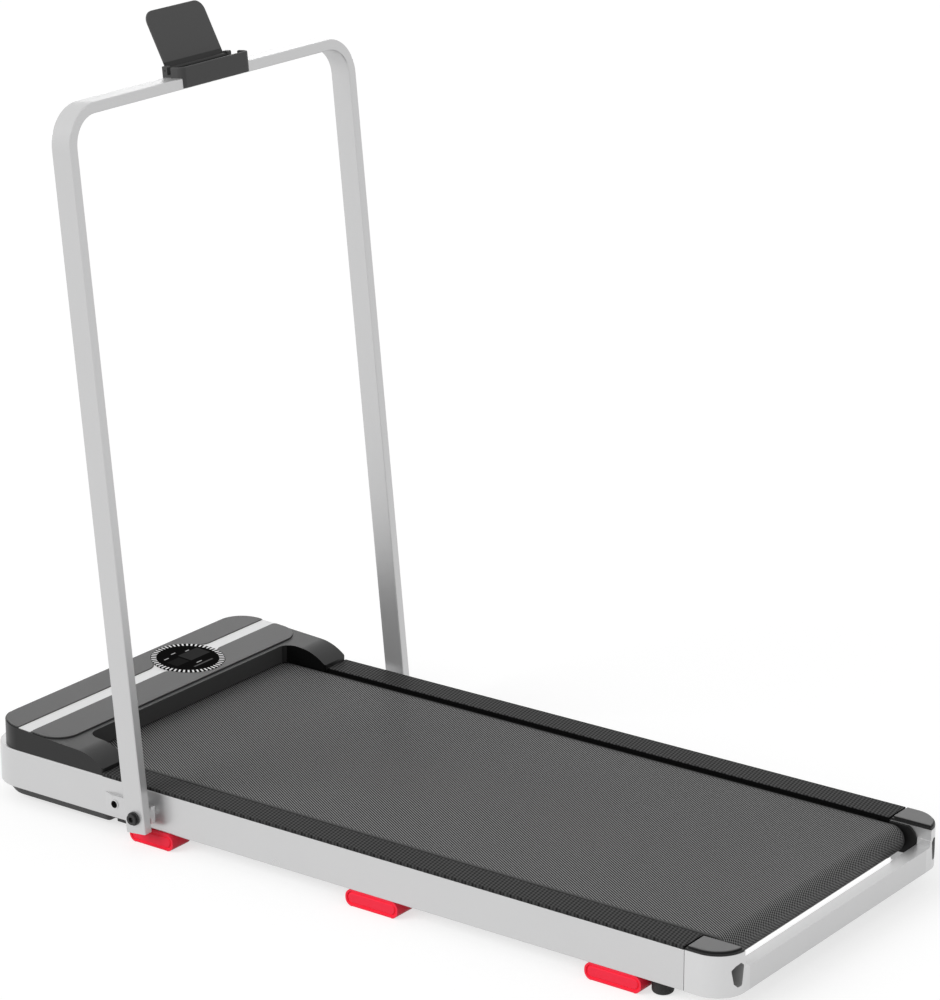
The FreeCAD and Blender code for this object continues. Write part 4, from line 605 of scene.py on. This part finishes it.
# Display: a round black lens printed with a ring of short ticks and two dim number windows.
# A few plain dashes stand where the lamps' labels go. The lens drops into the flare of the stripe.
def display_print():
    finish = Finish("display_print", Specular_IOR_Level=0.0)
    tick_count = 48
    tick_inner, tick_outer = 0.0455, 0.0530
    tick_half = 0.21
    line_blur = 0.0006
    dash_level, label_level = 0.6, 0.12
    low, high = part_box("display_lens")
    middle = (low + high) / 2
    x, y = finish.axes()[:2]
    u, v = x - middle.x, y - middle.y
    square = u * u + v * v
    spread = square.math("SQRT", square)
    turn = u.math("ARCTAN2", v, u) * (tick_count / math.tau)
    tooth = (turn.math("FRACT", turn) - 0.5).size()
    rim = spread.past(tick_inner, line_blur) * (1 - spread.past(tick_outer, line_blur))
    ticks = rim * (1 - tooth.past(tick_half, soft=0.06))

    def window(front, rear, near, far):
        lengthwise = u.past(front, line_blur) * (1 - u.past(rear, line_blur))
        return lengthwise * v.past(near, line_blur) * (1 - v.past(far, line_blur))

    speed_window = window(front=-0.0155, rear=0.010, near=-0.004, far=0.0385)
    time_window = window(front=-0.0105, rear=0.0094, near=-0.0345, far=-0.008)
    dashes = (
        window(front=-0.0190, rear=-0.0172, near=0.016, far=0.024)
        + window(front=-0.0264, rear=-0.0246, near=-0.007, far=0.002)
        + window(front=-0.0204, rear=-0.0186, near=-0.0296, far=-0.0199)
        + window(front=0.0200, rear=0.0218, near=-0.005, far=0.006)
    )
    labels = window(front=0.0265, rear=0.0295, near=-0.019, far=0.022)
    glass = finish.blend(speed_window, grey(0.006), grey(0.034))
    glass = finish.blend(time_window, glass, grey(0.016))
    glass = finish.blend(labels * label_level, glass, grey(0.8))
    finish.feed("Base Color", finish.blend(ticks.largest(dashes * dash_level), glass, grey(0.92)))
    finish.feed("Roughness", ticks * 0.3 + 0.20)
    return finish


dress(display_print(), "display_lens")

# Bottom pan: a black moulded tray under the motor end, drawn in towards the floor.
# Screw lugs hold it under the rails. Two small rubber transport wheels stand in it on steel forks.
pan_edge = 0.0012
pan_plastic = moulded_plastic(
    "pan_plastic", dark=grey(0.030), pale=grey(0.042), roughness=0.50, Specular_IOR_Level=0.3
)
softened(pan_plastic, pan_edge, 2, "bottom_pan")
dress(black_rubber("wheel_rubber", level=0.022), "left_wheel", "right_wheel")
dress(black_steel, "wheel_brackets")
dress(steel, "wheel_axles")

# Mains inlet and rocker switch: moulded fittings snapped into the front bar.
# The inlet is black. The rocker is red and tilts in it on two small pins.
rocker_red = moulded_plastic("rocker_red", (0.42, 0.010, 0.014), (0.52, 0.016, 0.020), roughness=0.30)
dress(black_plastic, "power_inlet")
dress(rocker_red, "power_rocker")


# Skids: red rubber blocks under the rails, on which the pad stands.
# A groove outlines the outer face of each, and the rubber has a rough cast skin.
def red_rubber():
    finish = Finish("red_rubber", Specular_IOR_Level=0.35)
    skin = finish.noise(scale=520.0, detail=4.0, roughness=0.65)
    finish.feed("Base Color", finish.blend(skin, (1.0, 0.010, 0.034), (1.0, 0.042, 0.090)))
    finish.feed("Roughness", skin * 0.2 + 0.42)
    finish.bump(skin, depth=0.0003, strength=0.6)
    return finish


skid_red = red_rubber()
skid_edge = 0.0012
groove_margin = 0.0026
groove_flank = 0.0007
groove_width = 0.0014
groove_depth = 0.0018
groove_steps = (
    (groove_margin, 0.0),
    (groove_flank, -groove_depth),
    (groove_width, 0.0),
    (groove_flank, groove_depth),
)
broad_area = 0.0004
outer_facing = 0.99


def beside_broad_face(edge):
    return max(face.calc_area() for face in edge.link_faces) > broad_area


for name, outwards in (("left_skids", -1), ("right_skids", 1)):
    skids = merged(name)
    faces = [face for face in skids.faces if face.normal.y * outwards > outer_facing]
    for inset, rise in groove_steps:
        bmesh.ops.inset_region(skids, faces=faces, thickness=inset, depth=rise, use_even_offset=True)
    outline = [edge for edge in sharp_edges(skids) if beside_broad_face(edge)]
    round_over(skids, outline, skid_edge, segments=2)
    stand_in(name, skids, skid_red)

# Rear feet: black rubber studs under the rails' rear ends.
# They are turned, matt and a little paler than the other rubber.
dress(black_rubber("foot_rubber", level=0.035), "rear_feet")

# Accessory sockets: black plugs deep in the brackets' rimmed holes.
# Each is a moulded disc with a shallow dish in its outer face, pressed in from outside.
plug_place = 0.0035
plug_thickness = 0.0012
plug_radius = bore_radius * 0.99
dish_margin = bore_radius * 0.3
dish_depth = 0.0004
plug_facing = 0.9
for bore in accessory_bores:
    middle = Vector(bore["pos_m"])
    outwards = math.copysign(1, middle.y)
    plug = bmesh.new()
    bmesh.ops.create_cone(
        plug, cap_ends=True, segments=40, radius1=plug_radius, radius2=plug_radius, depth=plug_thickness
    )
    bmesh.ops.rotate(plug, matrix=Matrix.Rotation(math.pi / 2, 3, "X"), verts=plug.verts)
    bmesh.ops.translate(plug, vec=middle - Vector((0, outwards * plug_place, 0)), verts=plug.verts)
    caps = [face for face in plug.faces if face.normal.y * outwards > plug_facing]
    bmesh.ops.inset_region(plug, faces=caps, thickness=dish_margin, depth=-dish_depth, use_even_offset=True)
    side = "left" if outwards < 0 else "right"
    finished(side + "_bracket_sleeve", plug, black_plastic, "deck_frame")

# Pivot bolts: black oxide bolts with a flange and a hexagon socket, on which the handrail turns.
# Each goes through a leg and its bracket into a nut behind the rail's wall; the edges are broken.
bolt_edge = 0.0005
bolt_black = moulded_plastic("bolt_black", dark=grey(0.022), pale=grey(0.032), roughness=0.34, Metallic=0.3)
softened(bolt_black, bolt_edge, 2, "pivot_bolts")
dress(steel, "pivot_nuts")

# Handrail: one bent rectangular tube with black plugs in its two feet.
# Its silver coat is duller than the frame's, so the deck shows in it only as a soft shade.
dress(silver_coat("tube_coat", roughness=0.36), "handrail_tube")
dress(black_plastic, "leg_inserts")


# Phone holder: a black moulded clip over the crossbar with a lip, and a plate that tilts on a steel pin.
# The lip's edges are rounded over, and the plate's foot, down in the slot, is painted near-black, as
# painted shade in the slot.
def plate_plastic_painted_shade():
    finish = Finish("plate_plastic_painted_shade", Specular_IOR_Level=0.35)
    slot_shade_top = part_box("phone_clip")[1].z
    speck = spark_grain(finish, roughness=0.42)
    front = finish.blend(speck, grey(0.064), grey(0.080))
    height = finish.axes()[2]
    # Painted shade: the plate is near-black below the clip's top, down in the slot.
    finish.feed("Base Color", finish.blend(height.past(slot_shade_top, soft=0.001), grey(0.004), front))
    return finish


holder_plastic = moulded_plastic(
    "holder_plastic", dark=grey(0.054), pale=grey(0.068), roughness=0.42, Specular_IOR_Level=0.35
)
plate_edge = 0.0009
lip_edge = 0.0018
lip_depth = 0.003
lip_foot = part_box("phone_clip")[1].z - lip_depth
clip = merged("phone_clip")
lip = [edge for edge in sharp_edges(clip) if min(end.co.z for end in edge.verts) > lip_foot]
round_over(clip, lip, lip_edge, segments=3)
stand_in("phone_clip", clip, holder_plastic)
softened(plate_plastic_painted_shade(), plate_edge, 3, "phone_plate")
dress(black_steel, "phone_hinge_pin")


# Studio: a white floor under an even sky, with a soft key lamp and a weaker back lamp.
# Camera and mirror rays see floor and sky as plain white; the floor still takes the shadow.
# The key lamp itself does not show in polished metal.
def seen_directly(tree_nodes):
    """Share that is 1 for rays from the camera, mirrors and glass."""
    outputs = tree_nodes.node("ShaderNodeLightPath").socket.node.outputs
    rays = ("Is Camera Ray", "Is Glossy Ray", "Is Transmission Ray")
    camera_ray, mirror_ray, glass_ray = (Value(tree_nodes, outputs[ray]) for ray in rays)
    return camera_ray.largest(mirror_ray).largest(glass_ray)


white = (1, 1, 1, 1)
sky_level = 0.58
sky = bpy.data.worlds.new("studio_sky")
sky.use_nodes = True
sky_nodes = Nodes(sky.node_tree)
sky_even = sky.node_tree.nodes["Background"]
sky_even.inputs["Color"].default_value = white
sky_even.inputs["Strength"].default_value = sky_level
sky_white = sky_nodes.node("ShaderNodeBackground", inputs={"Color": white})
sky_ends = {0: seen_directly(sky_nodes), 1: Value(sky_nodes, sky_even.outputs[0]), 2: sky_white}
sky_shown = sky_nodes.node("ShaderNodeMixShader", inputs=sky_ends)
sky_nodes.put(sky.node_tree.nodes["World Output"].inputs["Surface"], sky_shown)
scene.world = sky

studio_lamps = (
    ("key_lamp", 1.65, 40, (-0.45, -0.75, 0.50), False),
    ("back_lamp", 0.08, 10, (-0.61, 0.77, 0.20), True),
)
for name, energy, spread, towards, mirrored in studio_lamps:
    lamp = bpy.data.lights.new(name, "SUN")
    lamp.energy = energy
    lamp.angle = math.radians(spread)
    lamp_place = bpy.data.objects.new(name, lamp)
    lamp_place.rotation_euler = (-Vector(towards)).to_track_quat("-Z", "Y").to_euler()
    lamp_place.visible_glossy = mirrored
    scene.collection.objects.link(lamp_place)

floor_half = 30.0
paper_glow = 0.66
paper = Finish("studio_paper", Base_Color=(*grey(0.42), 1), Roughness=1.0, Specular_IOR_Level=0.0)
paper_plain = Value(paper, paper.shader.outputs[0])
paper_light = paper.node("ShaderNodeEmission", inputs={"Strength": paper_glow})
paper_white = paper.node("ShaderNodeAddShader", inputs={0: paper_plain, 1: paper_light})
paper_ends = {0: seen_directly(paper), 1: paper_plain, 2: paper_white}
paper_shown = paper.node("ShaderNodeMixShader", inputs=paper_ends)
paper.put(paper.tree.nodes["Material Output"].inputs["Surface"], paper_shown)
floor_shape = bmesh.new()
bmesh.ops.create_grid(floor_shape, x_segments=1, y_segments=1, size=floor_half)
floor_mesh = bpy.data.meshes.new("studio_floor")
floor_shape.to_mesh(floor_mesh)
floor_shape.free()
floor_mesh.materials.append(paper.material)
floor = bpy.data.objects.new("studio_floor", floor_mesh)
scene.collection.objects.link(floor)
scene.view_settings.view_transform = "Standard"

# Camera: a long lens from the walker's left and behind, at the photograph's place.
# Its place and turn were fitted to the corners of the deck frame and the handrail.
eye_place = (2.85769, -3.8905, 2.08188)
eye_down = math.radians(18.369)
eye_round = math.radians(36.029)
eye = bpy.data.cameras.new("eye")
eye.lens = 138.6
eye.sensor_width = 36.0
eye.clip_end = 100.0
camera = bpy.data.objects.new("eye", eye)
camera.location = eye_place
camera.rotation_euler = (math.pi / 2 - eye_down, 0, eye_round)
scene.collection.objects.link(camera)
scene.camera = camera
